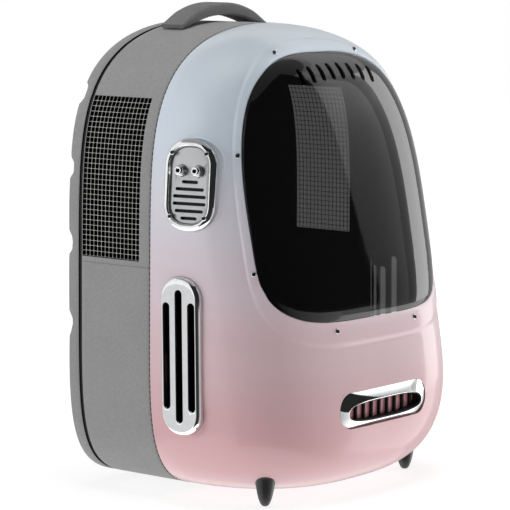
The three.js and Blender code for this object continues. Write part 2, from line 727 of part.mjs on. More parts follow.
// Gusset with its two net panels
function boxBetween(low, high) {
  const size = high.clone().sub(low);
  const middle = low.clone().add(high).multiplyScalar(0.5);
  return new THREE.BoxGeometry(size.x, size.y, size.z).translate(middle.x, middle.y, middle.z);
}
function gusset() {
  const ring = ringBody([
    outlineLoop(0, GAP), outlineLoop(0, GUSSET.back),
    outlineLoop(GUSSET.wall, GUSSET.back), outlineLoop(GUSSET.wall, GAP),
  ]);
  const reach = BODY_HALF_WIDTH + CUT_REACH;
  const opening = boxBetween(
    new THREE.Vector3(-reach, NET.front, NET.bottom), new THREE.Vector3(reach, NET.back, NET.top));
  return geometryOf(cutFrom(solidOf(ring), [opening]));
}
function netPanel(side) {
  const rows = Array.from({ length: NET.steps + 1 }, (_, i) =>
    THREE.MathUtils.lerp(NET.bottom + GAP, NET.top - GAP, i / NET.steps));
  const edge = (inset) => rows.map((z) => new THREE.Vector2(side * (halfWidthAt(z) - inset), z));
  const shape = new THREE.Shape([...edge(NET.inset), ...edge(NET.inset + NET.wall).reverse()]);
  const sheet = plate(shape, NET.front + GAP, NET.back - GAP);
  return sheet.rotateX(Math.PI / 2).translate(0, NET.front + NET.back, 0);
}
addPiece('gusset', gusset(), greyFabric);
addPiece('net_left', netPanel(-1), netFabric);
addPiece('net_right', netPanel(1), netFabric);

// Zip around the back
addPiece('zip', ringBody([
  outlineLoop(ZIP.inset, ZIP.front), outlineLoop(ZIP.inset, ZIP.back),
  outlineLoop(ZIP.inset + ZIP.wall, ZIP.back), outlineLoop(ZIP.inset + ZIP.wall, ZIP.front),
]), zipTape);

// Padded back with cross grooves between its pads
function backPanel() {
  const middle = new THREE.Vector3(0, 0, WINDOW_CENTRE);
  const slab = cappedBody(
    middle.clone().setY(BACK.front), BACK_RIM.map(({ inset, y }) => outlineLoop(inset, y)),
    middle.clone().setY(BACK.back));
  const { heights, depth, radius, sides } = GROOVES;
  const length = 2 * (BODY_HALF_WIDTH + CUT_REACH);
  const bar = new THREE.CylinderGeometry(radius, radius, length, sides).rotateZ(Math.PI / 2);
  const grooves = heights.map((z) => bar.clone().translate(0, BACK.back + radius - depth, z));
  return geometryOf(cutFrom(solidOf(slab), grooves));
}
addPiece('back_panel', backPanel(), greyFabric);

// Handle, straps and rear rest
const alongY = new THREE.Vector3(0, 1, 0);
const alongX = new THREE.Vector3(1, 0, 0);
const handleRows = HANDLE_ROWS.map((row) => ({ ...row, y: HANDLE.y, width: HANDLE.width }));
addPiece('handle', bandBody(handleRows, alongY, HANDLE.corner, HANDLE.steps), greyFabric);
for (const [side, sign] of [['left', -1], ['right', 1]]) {
  const mirrored = (rows) => rows.map((row) => ({ ...row, x: sign * row.x }));
  const band = (rows, { corner, steps }) => bandBody(mirrored(rows), alongX, corner, steps);
  addPiece(`strap_${side}`, band(STRAP_ROWS, STRAP), greyFabric);
  addPiece(`adjuster_${side}`, band(ADJUSTER_ROWS, ADJUSTER), blackPlastic);
  addPiece(`webbing_${side}`, band(WEBBING_ROWS, WEBBING), zipTape);
}
addPiece('rear_rest', boxBetween(
  new THREE.Vector3(-REAR_REST.length / 2, REAR_REST.y - REAR_REST.width / 2, -FLOOR_GAP),
  new THREE.Vector3(REAR_REST.length / 2, REAR_REST.y + REAR_REST.width / 2, -GAP),
), rubber);

export default carrier;
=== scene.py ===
import math

import bmesh
import bpy
import numpy as np
from mathutils import Matrix, Vector


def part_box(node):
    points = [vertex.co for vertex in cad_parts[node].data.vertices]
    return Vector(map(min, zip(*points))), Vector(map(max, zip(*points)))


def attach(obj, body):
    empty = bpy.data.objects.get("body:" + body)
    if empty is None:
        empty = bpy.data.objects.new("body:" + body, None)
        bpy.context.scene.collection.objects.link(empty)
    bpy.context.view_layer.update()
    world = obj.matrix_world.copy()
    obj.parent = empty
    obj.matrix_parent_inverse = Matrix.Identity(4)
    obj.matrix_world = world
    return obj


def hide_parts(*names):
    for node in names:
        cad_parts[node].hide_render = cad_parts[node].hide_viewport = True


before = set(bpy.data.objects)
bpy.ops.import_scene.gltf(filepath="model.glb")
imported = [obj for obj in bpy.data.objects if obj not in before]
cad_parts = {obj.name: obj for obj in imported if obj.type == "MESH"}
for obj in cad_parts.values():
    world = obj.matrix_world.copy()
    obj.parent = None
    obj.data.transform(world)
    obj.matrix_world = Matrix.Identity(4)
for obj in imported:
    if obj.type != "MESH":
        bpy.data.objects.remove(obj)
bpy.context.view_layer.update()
mm = 0.001
least = 1e-3  # keeps a division by a size from failing
sides = ((-1, "left"), (1, "right"))
shellLow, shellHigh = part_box("front_shell")
print("frame loaded with", len(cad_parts), "nodes")

# Body form in millimetres, measured from the seam and the underside of the shell
body = dict(
    halfWidth=shellHigh.x / mm, height=(shellHigh.z - shellLow.z) / mm, widest=173,
    topAcross=2.12, topUp=5.13, lowAcross=5.18, lowUp=4.4, planSide=3.55, planFloor=2.36, planStart=110,
    depthAtGrille=155.1, grilleHeight=80, depthSlope=0.246, depthCurve=-0.46,
    topRound=380.4, topPower=2, lowRound=310, lowPower=5.14,
)
bodyOrigin = np.array([0, shellHigh.y / mm, shellLow.z / mm])


def pick(form, names):
    return [form[name] for name in names.split()]


def unit(ways):
    return ways / np.linalg.norm(ways, axis=-1, keepdims=True)


def turnsOf(count):
    return np.linspace(0, 2 * math.pi, count, endpoint=False)


def runningSum(steps):
    return np.concatenate([[0], np.cumsum(steps)])


def byHalf(above, key):
    return np.where(above >= 0, body["top" + key], body["low" + key])


def halfWidthAt(z):
    above = (z - body["widest"]) / (body["height"] - body["widest"])
    reach = np.clip(np.where(above >= 0, above, 1 - z / body["widest"]), 0, 1)
    return body["halfWidth"] * np.maximum(0, 1 - reach ** byHalf(above, "Up")) ** (1 / byHalf(above, "Across"))


def depthAt(z):
    height = z - body["grilleHeight"]
    depth = body["depthAtGrille"] - body["depthSlope"] * height + body["depthCurve"] * (height / 100) ** 2
    top = np.clip((z - body["topRound"]) / (body["height"] - body["topRound"]), 0, 1)
    low = np.clip(1 - z / body["lowRound"], 0, 1)
    for share, power in ((top, body["topPower"]), (low, body["lowPower"])):
        depth = depth * (1 - share ** power) ** (1 / power)
    return depth


def planPowerAt(z):
    low = np.clip(1 - z / body["planStart"], 0, 1)
    return body["planSide"] + (body["planFloor"] - body["planSide"]) * low ** 2


# Facing of the shell's skin, from how its width, depth and squareness change with height
def skinNormal(x, y, z, step=0.02, tiny=1e-9):
    width, depth = np.maximum(halfWidthAt(z), least), np.maximum(depthAt(z), least)
    power = planPowerAt(z)
    across, forward = np.clip(np.abs(x) / width, 0, 1), np.clip(-y / depth, 0, 1)
    widthSlope, depthSlope, powerSlope = (
        (shape(z + step) - shape(z - step)) / (2 * step * size)
        for shape, size in ((halfWidthAt, width), (depthAt, depth), (planPowerAt, power)))
    bend = sum(share ** power * np.log(np.maximum(share, tiny)) for share in (across, forward))
    return unit(np.stack([
        np.sign(x) * across ** (power - 1) / width,
        -(forward ** (power - 1)) / depth,
        powerSlope * bend - across ** power * widthSlope - forward ** power * depthSlope,
    ], -1))


def skinPoint(x, z, rise):
    across = np.clip(np.abs(x) / np.maximum(halfWidthAt(z), least), 0, 1)
    power = planPowerAt(z)
    y = -depthAt(z) * (1 - across ** power) ** (1 / power)
    return np.stack([x, y, z], -1) + rise * skinNormal(x, y, z)


def sidePoint(side, y, z, rise=0.0):
    power = planPowerAt(z)
    x = side * halfWidthAt(z) * (1 - (np.abs(y) / depthAt(z)) ** power) ** (1 / power)
    return np.stack([x, y, z], -1) + rise * skinNormal(x, y, z)


def outlineAt(turn):
    up, side = np.cos(turn), np.sin(turn)
    reach = np.where(up >= 0, body["height"] - body["widest"], body["widest"])
    x = body["halfWidth"] * np.sign(side) * np.abs(side) ** (2 / byHalf(up, "Across"))
    z = body["widest"] + reach * np.sign(up) * np.abs(up) ** (2 / byHalf(up, "Up"))
    return np.stack([x, z], -1)


# Points along the body's outline, spread by length and bend, with the way out at each
def spreadOutline(count, heights=(), samples=5760, bendWeight=90.0, near=0.2):
    fine = outlineAt(turnsOf(samples))
    along = np.roll(fine, -1, 0) - fine
    before = np.roll(along, 1, 0)
    turned = before[:, 0] * along[:, 1] - before[:, 1] * along[:, 0]
    bend = np.abs(np.arctan2(turned, (before * along).sum(1)))
    total = runningSum(np.hypot(*along.T) + bendWeight * bend)
    picks = np.unique(np.searchsorted(total, np.arange(count) * total[-1] / count))
    chord = np.roll(fine, -1, 0) - np.roll(fine, 1, 0)
    for height in heights:
        for side, _ in sides:
            gap = np.abs(fine[:, 1] - height) + np.where(fine[:, 0] * side > 0, 0, body["height"])
            nearest = int(np.argmin(gap))
            picks[np.argmin(np.abs(picks - nearest))] = nearest
    at, out = fine[picks], unit(np.stack([-chord[:, 1], chord[:, 0]], -1))[picks]
    for height in heights:
        rows = np.abs(at[:, 1] - height) < near
        at[rows, 1] = height
        at[rows, 0] = np.sign(at[rows, 0]) * halfWidthAt(at[rows, 1])
    return {"at": at, "out": out, "along": runningSum(np.linalg.norm(np.roll(at, -1, 0) - at, axis=1))}


def outlineRing(outline, inset, y):
    flat = outline["at"] - inset * outline["out"]
    return np.stack([flat[:, 0], np.full(len(flat), y), flat[:, 1]], -1)


def toFrame(points):
    return (np.asarray(points, float) + bodyOrigin) * mm


# Rings of points joined to a skin: open, closed on themselves, or with a fan at each end
def loft(rings, ends="open", across=None, along=None, wrap=True):
    rings = np.asarray(rings, float)
    count, size = rings.shape[:2]
    faces, uvs = [], []
    for i in range(count if ends == "ring" else count - 1):
        k = (i + 1) % count
        for j in range(size if wrap else size - 1):
            q = (j + 1) % size
            faces.append((i * size + j, i * size + q, k * size + q, k * size + j))
            if across is not None:
                left, right, low, high = across[j], across[j + 1], along[i], along[i + 1]
                uvs.append(((left, low), (right, low), (right, high), (left, high)))
    points = rings.reshape(-1, 3)
    if ends == "fan":
        base, end = len(points), (count - 1) * size
        points = np.vstack([points, rings[0].mean(0), rings[-1].mean(0)])
        for j in range(size):
            q = (j + 1) % size
            faces += [(base, q, j), (base + 1, end + j, end + q)]
            if across is not None:
                left, right, (low, high) = across[j], across[j + 1], (along[0], along[-1])
                middle = (left + right) / 2
                uvs += [((middle, low), (right, low), (left, low)),
                        ((middle, high), (left, high), (right, high))]
    return points, faces, uvs


def shadeSmooth(obj, sharp):
    mesh = obj.data
    mesh.polygons.foreach_set("use_smooth", [True] * len(mesh.polygons))
    mesh.set_sharp_from_angle(angle=math.radians(sharp))
    mesh.update()


def faceOut(obj, near=1e-7):
    shape = bmesh.new()
    shape.from_mesh(obj.data)
    bmesh.ops.remove_doubles(shape, verts=shape.verts, dist=near)
    bmesh.ops.recalc_face_normals(shape, faces=shape.faces)
    shape.to_mesh(obj.data)
    shape.free()


def addObject(name, data):
    obj = bpy.data.objects.new(name, data)
    bpy.context.scene.collection.objects.link(obj)
    return obj


def newMesh(name, points, faces, edges=()):
    mesh = bpy.data.meshes.new(name)
    mesh.from_pydata(np.asarray(points).tolist(), list(edges), faces)
    return mesh


def addPiece(name, skin, *finishes, sharp=40, closed=True):
    points, faces, uvs = skin
    mesh = newMesh(name, toFrame(points), faces)
    for finish in finishes:
        mesh.materials.append(finish)
    if uvs:
        layer = mesh.uv_layers.new(name="cloth")
        layer.data.foreach_set("uv", np.concatenate([np.ravel(corner) for corner in uvs]) * mm)
    obj = addObject(name, mesh)
    if closed:
        faceOut(obj)
    shadeSmooth(obj, sharp)
    return obj


def bakeModifiers(obj, sharp):
    graph = bpy.context.evaluated_depsgraph_get()
    graph.update()
    mesh = bpy.data.meshes.new_from_object(
        obj.evaluated_get(graph), preserve_all_data_layers=True, depsgraph=graph)
    obj.modifiers.clear()
    obj.data = mesh
    mesh.name = obj.name
    shadeSmooth(obj, sharp)


def cutWith(obj, cutters, sharp):
    for cutter in cutters:
        cut = obj.modifiers.new("cut", "BOOLEAN")
        cut.operation, cut.solver, cut.object = "DIFFERENCE", "EXACT", cutter
    bakeModifiers(obj, sharp)
    for cutter in cutters:
        bpy.data.objects.remove(cutter)


def soften(obj, width, segments=2, over=50, sharp=40):
    bevel = obj.modifiers.new("soften", "BEVEL")
    bevel.width, bevel.segments = width * mm, segments
    bevel.limit_method, bevel.angle_limit = "ANGLE", math.radians(over)
    bakeModifiers(obj, sharp)


# Second finish where the rule says so, from each face's middle in body millimetres and its normal
def paintFaces(obj, rule):
    faces = obj.data.polygons
    centers, normals = np.zeros(len(faces) * 3), np.zeros(len(faces) * 3)
    faces.foreach_get("center", centers)
    faces.foreach_get("normal", normals)
    chosen = rule(centers.reshape(-1, 3) / mm - bodyOrigin, normals.reshape(-1, 3))
    faces.foreach_set("material_index", chosen.astype(int))


def settle(obj, slotName, *nodes, bodyName="carrier"):
    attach(obj, bodyName)
    if nodes:
        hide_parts(*nodes)


# Nodes of materials and geometry trees
def addNode(tree, kind, links=None, **settings):
    node = tree.nodes.new(kind)
    for key, value in settings.items():
        setattr(node, key, value)
    for label, source in (links or {}).items():
        if isinstance(source, bpy.types.NodeSocket):
            tree.links.new(source, node.inputs[label])
        else:
            node.inputs[label].default_value = source
    return node


# Linear colour from screen levels
def fromScreen(*color):
    shares = [level / 255 for level in color]
    return (*[s / 12.92 if s <= 0.04045 else ((s + 0.055) / 1.055) ** 2.4 for s in shares], 1.0)


def newFinish(name, **sockets):
    finish = bpy.data.materials.new(name)
    finish.use_nodes = True
    shader = finish.node_tree.nodes["Principled BSDF"]
    for label, value in sockets.items():
        shader.inputs[label.replace("_", " ")].default_value = value
    return finish, finish.node_tree, shader


def objectPlace(tree):
    return addNode(tree, "ShaderNodeTexCoord").outputs["Object"]


def clothPlace(tree):
    return addNode(tree, "ShaderNodeUVMap", uv_map="cloth").outputs["UV"]


def addNoise(tree, scale, detail):
    links = {"Vector": objectPlace(tree), "Scale": scale, "Detail": detail}
    return addNode(tree, "ShaderNodeTexNoise", links).outputs["Fac"]


def addMath(tree, operation, *values):
    return addNode(tree, "ShaderNodeMath", dict(enumerate(values)), operation=operation).outputs[0]


def addRange(tree, source, before=(0.0, 1.0), after=(0.0, 1.0)):
    return addNode(tree, "ShaderNodeMapRange", {
        "Value": source, "From Min": before[0], "From Max": before[1],
        "To Min": after[0], "To Max": after[1]}).outputs["Result"]


def addTone(tree, shader, source, stops, ease="LINEAR"):
    node = addNode(tree, "ShaderNodeValToRGB", {"Fac": source})
    ramp = node.color_ramp
    ramp.interpolation = ease
    while len(ramp.elements) < len(stops):
        ramp.elements.new(1.0)
    for element, (place, color) in zip(ramp.elements, stops):
        element.position, element.color = place, color
    tree.links.new(node.outputs["Color"], shader.inputs["Base Color"])


def addBump(tree, shader, height, strength, distance):
    bump = addNode(tree, "ShaderNodeBump", {"Height": height, "Strength": strength, "Distance": distance})
    tree.links.new(bump.outputs["Normal"], shader.inputs["Normal"])


# Gloss paint that goes from blue grey at the top to pink at the bottom
shellLook = dict(
    stops=[(0, (203, 156, 160)), (0.13, (203, 157, 161)), (0.33, (205, 176, 182)), (0.47, (205, 190, 198)),
           (0.6, (201, 197, 206)), (0.78, (194, 204, 215)), (1, (189, 199, 208))],
    sockets=dict(Roughness=0.4, Specular_IOR_Level=0.6, Coat_Weight=0.45, Coat_Roughness=0.05),
    peelNoise=(700, 1), peel=0.012, peelDepth=0.0004,
)
paneLook = dict(
    sockets=dict(Base_Color=(0.004, 0.004, 0.0045, 1), Roughness=0.025, IOR=1.52, Alpha=0.76),
    swirlNoise=(14, 1), swirl=0.01, swirlDepth=0.002,
)
grainStops = (0.3, 0.7)
metalLook = dict(dark=0.94, spread=0.3, detail=3, depth=0.0003)
plasticLook = dict(dark=0.86, spread=0.15, detail=4, depth=0.0004)
clothLook = dict(
    roughness=0.92, sheenRoughness=0.6, waveLength=math.pi / 10, wander=0.6, cloudNoise=(24, 2), cloud=0.3,
    speckleNoise=(420, 3), weave=0.5, toneRange=(0.4, 1.2), bump=0.35, depth=0.0004,
)
meshLook = dict(
    sockets=dict(Roughness=0.95, Sheen_Weight=0.1, Specular_IOR_Level=0.15), cell=3.4, wander=0.15,
    color=(104, 104, 106), dark=0.45, stops=(0.1, 0.42), bump=0.8, depth=0.0012,
)


def makeShellPaint():
    finish, tree, shader = newFinish("shellPaint", **shellLook["sockets"])
    height = addNode(tree, "ShaderNodeSeparateXYZ", {"Vector": objectPlace(tree)}).outputs["Z"]
    share = addRange(tree, height, (shellLow.z, shellHigh.z))
    addTone(tree, shader, share, [(at, fromScreen(*color)) for at, color in shellLook["stops"]], "EASE")
    addBump(tree, shader, addNoise(tree, *shellLook["peelNoise"]), *pick(shellLook, "peel peelDepth"))
    return finish


def makeSmokedPane():
    finish, tree, shader = newFinish("smokedPane", **paneLook["sockets"])
    addBump(tree, shader, addNoise(tree, *paneLook["swirlNoise"]), *pick(paneLook, "swirl swirlDepth"))
    return finish


# Grain shared by metal and plastic: tone, roughness and bump follow one noise
def makeGrained(name, look, tones, roughness, grain, scale, **sockets):
    finish, tree, shader = newFinish(name, **sockets)
    noise = addNoise(tree, scale, look["detail"])
    addTone(tree, shader, noise, list(zip(grainStops, tones)))
    rough = addRange(tree, noise, after=[roughness * (1 + sign * look["spread"]) for sign in (-1, 1)])
    tree.links.new(rough, shader.inputs["Roughness"])
    addBump(tree, shader, noise, grain, look["depth"])
    return finish


def makeMetal(name, color, *grain):
    tones = [(*[c * share for c in color], 1) for share in (metalLook["dark"], 1)]
    return makeGrained(name, metalLook, tones, *grain, Metallic=1.0)


def makePlastic(name, color, *grain):
    tones = [fromScreen(*[c * share for c in color]) for share in (plasticLook["dark"], 1)]
    return makeGrained(name, plasticLook, tones, *grain)


# Woven cloth: crossing threads on the piece's own cloth map, with a melange of tones
def makeCloth(name, color, thread, melange=0.12, sheen=0.15, gloss=0.2):
    look = clothLook
    finish, tree, shader = newFinish(
        name, Roughness=look["roughness"], Sheen_Weight=sheen, Sheen_Roughness=look["sheenRoughness"],
        Specular_IOR_Level=gloss)
    waves = {
        "Vector": clothPlace(tree), "Scale": look["waveLength"] / (thread * mm), "Distortion": look["wander"]}
    weave = addMath(tree, "MULTIPLY", *[
        addNode(tree, "ShaderNodeTexWave", waves, bands_direction=way).outputs["Fac"] for way in "XY"])
    cloud, speckle = (addNoise(tree, *look[key]) for key in ("cloudNoise", "speckleNoise"))
    mixed = addMath(tree, "MULTIPLY_ADD", cloud, look["cloud"], speckle)
    toned = addMath(tree, "MULTIPLY_ADD", weave, look["weave"], mixed)
    tones = [fromScreen(*[min(255, c * share) for c in color]) for share in (1 - melange, 1 + melange)]
    addTone(tree, shader, addRange(tree, toned, look["toneRange"]), list(zip((0.0, 1.0), tones)))
    addBump(tree, shader, weave, *pick(look, "bump depth"))
    return finish


# Spacer mesh: rows of small round cells
def makeAirMesh():
    look = meshLook
    finish, tree, shader = newFinish("airMesh", **look["sockets"])
    cells = addNode(tree, "ShaderNodeTexVoronoi", {
        "Vector": clothPlace(tree), "Scale": 1 / (look["cell"] * mm), "Randomness": look["wander"],
    }, voronoi_dimensions="2D").outputs["Distance"]
    tones = [fromScreen(*[c * share for c in look["color"]]) for share in (look["dark"], 1)]
    addTone(tree, shader, cells, list(zip(look["stops"], tones)))
    addBump(tree, shader, cells, *pick(look, "bump depth"))
    return finish


shellPaint = makeShellPaint()
smokedPane = makeSmokedPane()
chrome = makeMetal("chromePlate", (0.9, 0.91, 0.92), 0.05, 0.01, 160.0)
satinMetal = makeMetal("satinMetal", (0.61, 0.62, 0.63), 0.36, 0.06, 900.0)
blackPlastic = makePlastic("blackPlastic", (34, 34, 36), 0.36, 0.12, 900.0)
finBlack = makePlastic("finBlack", (14, 14, 15), 0.6, 0.12, 900.0)
# Darker, deeper pink than the shell paint: painted shade on the tray wall seen between the grille fins
trayPink = makePlastic("trayPink", (196, 128, 134), 0.3, 0.05, 700.0)
rubberLook = makePlastic("restRubber", (30, 30, 32), 0.75, 0.3, 600.0)
greyCloth = makeCloth("greyCloth", (141, 141, 141), 1.1, melange=0.07)
handleCloth = makeCloth("handleCloth", (106, 106, 106), 1.1, melange=0.07)
# Near-black lining with no gloss: a dark lining, darkened further as painted shade for the carrier's inside
liningCloth = makeCloth("liningCloth", (12, 12, 13), 1.0, sheen=0.0, gloss=0.0)
netThread = makePlastic("netThread", (176, 176, 174), 0.8, 0.4, 1500.0)
blackTape = makeCloth("blackTape", (22, 22, 23), 0.8, sheen=0.05)
darkThread = makePlastic("darkThread", (58, 58, 60), 0.8, 0.3, 1500.0)
greyThread = makePlastic("greyThread", (118, 118, 118), 0.8, 0.3, 1500.0)
airMesh = makeAirMesh()
print("finishes made")


# Geometry trees, each with a part to repeat and its finish
def startTree(name, **sockets):
    tree, names = bpy.data.node_groups.new(name, "GeometryNodeTree"), {}
    for label, kind in {"Geometry": "Geometry", "Part": "Object", "Finish": "Material", **sockets}.items():
        made = tree.interface.new_socket(label, in_out="INPUT", socket_type="NodeSocket" + kind)
        names[label] = made.identifier
    tree.interface.new_socket("Geometry", in_out="OUTPUT", socket_type="NodeSocketGeometry")
    return tree, names, tree.nodes.new("NodeGroupInput").outputs


def endTree(tree, given, **links):
    links["Instance"] = addNode(tree, "GeometryNodeObjectInfo", {"Object": given["Part"]}).outputs["Geometry"]
    copies = addNode(tree, "GeometryNodeInstanceOnPoints", links).outputs["Instances"]
    solid = addNode(tree, "GeometryNodeRealizeInstances", {"Geometry": copies}).outputs["Geometry"]
    dressed = addNode(tree, "GeometryNodeSetMaterial", {"Geometry": solid, "Material": given["Finish"]})
    addNode(tree, "NodeGroupOutput", {"Geometry": dressed.outputs["Geometry"]})


def addTurn(tree, way, axis):
    return addNode(tree, "FunctionNodeAlignRotationToVector", {"Vector": way}, axis=axis).outputs["Rotation"]


# A part set on each point, its Z along the point's facing
def makeStampTree():
    tree, names, given = startTree("stampOnPoints")
    dots = addNode(tree, "GeometryNodeMeshToPoints", {"Mesh": given["Geometry"]}).outputs["Points"]
    facing = addNode(tree, "GeometryNodeInputNamedAttribute", {"Name": "facing"}, data_type="FLOAT_VECTOR")
    endTree(tree, given, Points=dots, Rotation=addTurn(tree, facing.outputs["Attribute"], "Z"))
    return tree, names


# A part repeated along a path at an even pitch, its X along the path
def makeRowTree():
    tree, names, given = startTree("rowAlongPath", Pitch="Float")
    path = addNode(tree, "GeometryNodeMeshToCurve", {"Mesh": given["Geometry"]}).outputs["Curve"]
    dots = addNode(tree, "GeometryNodeCurveToPoints", {"Curve": path, "Length": given["Pitch"]}, mode="LENGTH")
    turn = addTurn(tree, dots.outputs["Tangent"], "X")
    endTree(tree, given, Points=dots.outputs["Points"], Rotation=turn)
    return tree, names


# A flat field of cells
def makeFieldTree():
    tree, names, given = startTree("cellField", Columns="Int", Rows="Int", Width="Float", Height="Float")
    field = addNode(tree, "GeometryNodeMeshGrid", {
        "Size X": given["Width"], "Size Y": given["Height"],
        "Vertices X": given["Columns"], "Vertices Y": given["Rows"]})
    endTree(tree, given, Points=field.outputs["Mesh"])
    return tree, names


stampTree, rowTree, fieldTree = makeStampTree(), makeRowTree(), makeFieldTree()


def growFrom(name, grower, points=((0, 0, 0),), edges=(), facing=None, **values):
    mesh = newMesh(name, points, [], edges)
    if facing is not None:
        mesh.attributes.new("facing", "FLOAT_VECTOR", "POINT").data.foreach_set("vector", np.ravel(facing))
    obj = addObject(name, mesh)
    grow = obj.modifiers.new("grow", "NODES")
    grow.node_group, names = grower
    for label, value in values.items():
        grow[names[label]] = value
    bakeModifiers(obj, sharp=40)
    bpy.data.objects.remove(values["Part"])
    return obj


def addPart(name, skin):
    obj = addObject(name, newMesh(name, np.asarray(skin[0]) * mm, skin[1]))
    faceOut(obj)
    shadeSmooth(obj, sharp=40)
    return obj


def turned(profile, count):
    turn = turnsOf(count)
    rings = [np.stack([r * np.cos(turn), r * np.sin(turn), np.full(count, h)], -1) for r, h in profile]
    return loft(rings, "fan")


stitchForm = dict(sides=6, bar=[(0.35, -0.5), (0.85, -0.42), (1, 0), (0.85, 0.42), (0.35, 0.5)])


# A line of stitches along points in body millimetres
def addStitches(name, points, finish, pitch, length, radius, closed=False):
    count = len(points)
    edges = [(i, (i + 1) % count) for i in range(count if closed else count - 1)]
    bar, faces, _ = turned([(size * radius, share * length) for size, share in stitchForm["bar"]],
                           stitchForm["sides"])
    part = addPart("stitch", (np.roll(bar, 1, 1), faces))  # lies along X
    stitches = growFrom(name, rowTree, toFrame(points), edges, Part=part, Finish=finish, Pitch=pitch * mm)
    settle(stitches, "grey_fabric")


# Flat outlines, local frames on the skin and rings on them
def racetrack(halfWidth, halfHeight, radius, perCorner=14, straight=0.01):
    radius = min(radius, halfWidth - straight, halfHeight - straight)
    points = []
    for quarter, (sx, sy) in enumerate([(1, -1), (1, 1), (-1, 1), (-1, -1)]):
        turn = np.linspace(0, math.pi / 2, perCorner) + (quarter - 1) * math.pi / 2
        points.append(np.stack([sx * (halfWidth - radius) + radius * np.cos(turn),
                                sy * (halfHeight - radius) + radius * np.sin(turn)], -1))
    return np.concatenate(points)


def slotTrack(width, height, perCorner):
    return racetrack(width / 2, height / 2, min(width, height) / 2, perCorner)


def insetTrack(form, inset):
    radius = form.get("radius", form["halfHeight"])
    return racetrack(form["halfWidth"] - inset, form["halfHeight"] - inset, radius - inset)


def sideFrame(side, y, z):
    point = sidePoint(side, y, z)
    normal = skinNormal(*point)
    up = unit(np.array([0, 0, 1.0]) - normal[2] * normal)
    return {"at": point, "across": np.cross(up, normal), "up": up, "out": normal}


def onFrame(place, flat, level):
    flat = np.asarray(flat, float)
    return (place["at"] + flat[..., :1] * place["across"] + flat[..., 1:2] * place["up"]
            + np.asarray(level)[..., None] * place["out"])


def ringsOn(place, rows):
    return [onFrame(place, track, level) for track, level in rows]


def insetRings(place, form, rows):
    return ringsOn(place, [(insetTrack(form, inset), level) for inset, level in rows])


def cutterFor(place, track, low=-20, high=20, shift=(0, 0)):
    track = track + np.asarray(shift)
    return addPiece("cutter", loft(ringsOn(place, [(track, low), (track, high)]), "fan"))


frontFrame = {
    "at": np.array([0, 0, 81.3]), "across": np.array([1.0, 0, 0]), "up": np.array([0, 0, 1.0]),
    "out": np.array([0, -1.0, 0]),
}

# Window and bezel outlines as a reach from the window's middle
windowForm = dict(middle=240, halfWidth=133.7, up=162.8, down=78.1, upPower=3, downPower=4.3)
bezelForm = dict(halfWidth=140.5, up=174.6, down=100.8, upPower=2.85, downPower=4.2)


def reachOf(form, way):
    up = way[:, 1] >= 0
    power = np.where(up, form["upPower"], form["downPower"])
    side = (np.abs(way[:, 0]) / form["halfWidth"]) ** power
    rise = (np.abs(way[:, 1]) / np.where(up, form["up"], form["down"])) ** power
    return (side + rise) ** (-1 / power)


seamOutline = spreadOutline(300)
spokeWay = seamOutline["at"] - [0, windowForm["middle"]]
seamReach = np.linalg.norm(spokeWay, axis=1)
spokeWay = spokeWay / seamReach[:, None]
windowReach, bezelReach = reachOf(windowForm, spokeWay), reachOf(bezelForm, spokeWay)


def spokeRing(reach, rise):
    flat = spokeWay * reach[:, None]
    return skinPoint(flat[:, 0], windowForm["middle"] + flat[:, 1], rise)


# Front shell with its raised bezel, and the fittings that it has holes for
shellForm = dict(
    wall=3, rings=58, crowding=2.6, edge=0.7, edgeRound=0.3, lastShare=0.9985, innerLast=-6, innerStep=2,
    innerLip=0.6, shadedInsideBelow=-0.3, sharp=50,
    bezel=[(0, -2.4), (0, 0.35), (0.05, 0.95), (0.13, 1.42), (0.24, 1.6), (0.5, 1.62), (0.7, 1.55),
           (0.82, 1.3), (0.9, 0.9), (0.97, 0.4), (1.03, 0.12), (1.12, 0)],
)
ventForm = dict(
    halfWidth=21.8, halfHeight=71.75, radius=20.5, y=-38.4, z=133.8, proud=5.2, sunk=9, edge=4.3, wall=2.2,
    lean=1, slotWidth=8, slots=[(-14, 97), (0, 121), (14, 99)], overlap=1.6, flat=4,
    crown=0.12, edgeSteps=9, edgeEnd=0.15, soft=0.35, slotSteps=10, slotCut=(-30, 30),
    slotReach=18.2, slotTop=0.3, darkBelow=-0.3, darkUp=0.6, darkOut=0.5,
    lip=[(-1.5, -0.3), (-1.2, 0.15), (-0.7, 0.35), (-0.1, 0.1), (0.3, -0.6)],
)
panelForm = dict(
    halfWidth=26, halfHeight=41, radius=23, y=-43.5, z=288, overlap=1.4,
    ring=[(0, -4), (0, -0.2), (0.3, 0.6), (0.9, 1.3), (1.9, 2.1), (3, 2.75), (4, 3.1), (4.8, 3.1),
          (5.5, 2.6), (6.1, 1.4), (6.5, -0.4), (6.9, -2.6), (6.9, -4)],
    lip=[(-2.5, -0.3), (-2.2, 0.2), (-1.5, 0.55), (-0.7, 0.45), (0.1, 0.1), (0.7, -0.8)],
)
grilleForm = dict(
    halfWidth=67.4, halfHeight=16.4, front=149.4, rim=145.8, back=142.8, overlap=-0.2, cut=(120, 170),
    trayBack=136.7, trayFront=145, trayWall=2.5, crown=1.35, eyeEdge=0.8, bow=2400, rimStep=0.3,
    rimInset=0.2, eyeHalfWidth=56.4, eyeHalfHeight=9.3, eyeDrop=2.5, eyePower=3, loopPoints=176,
    cornerPoints=120, crownSteps=12, edgeSteps=9,
)


def ventFrame(side):
    place, lean = sideFrame(side, ventForm["y"], ventForm["z"]), math.radians(side * ventForm["lean"])
    up, across = place["up"], place["across"]
    place["up"] = math.cos(lean) * up + math.sin(lean) * across
    place["across"] = math.cos(lean) * across - math.sin(lean) * up
    return place


ventFrames = [ventFrame(side) for side, _ in sides]
panelFrame = sideFrame(-1, panelForm["y"], panelForm["z"])


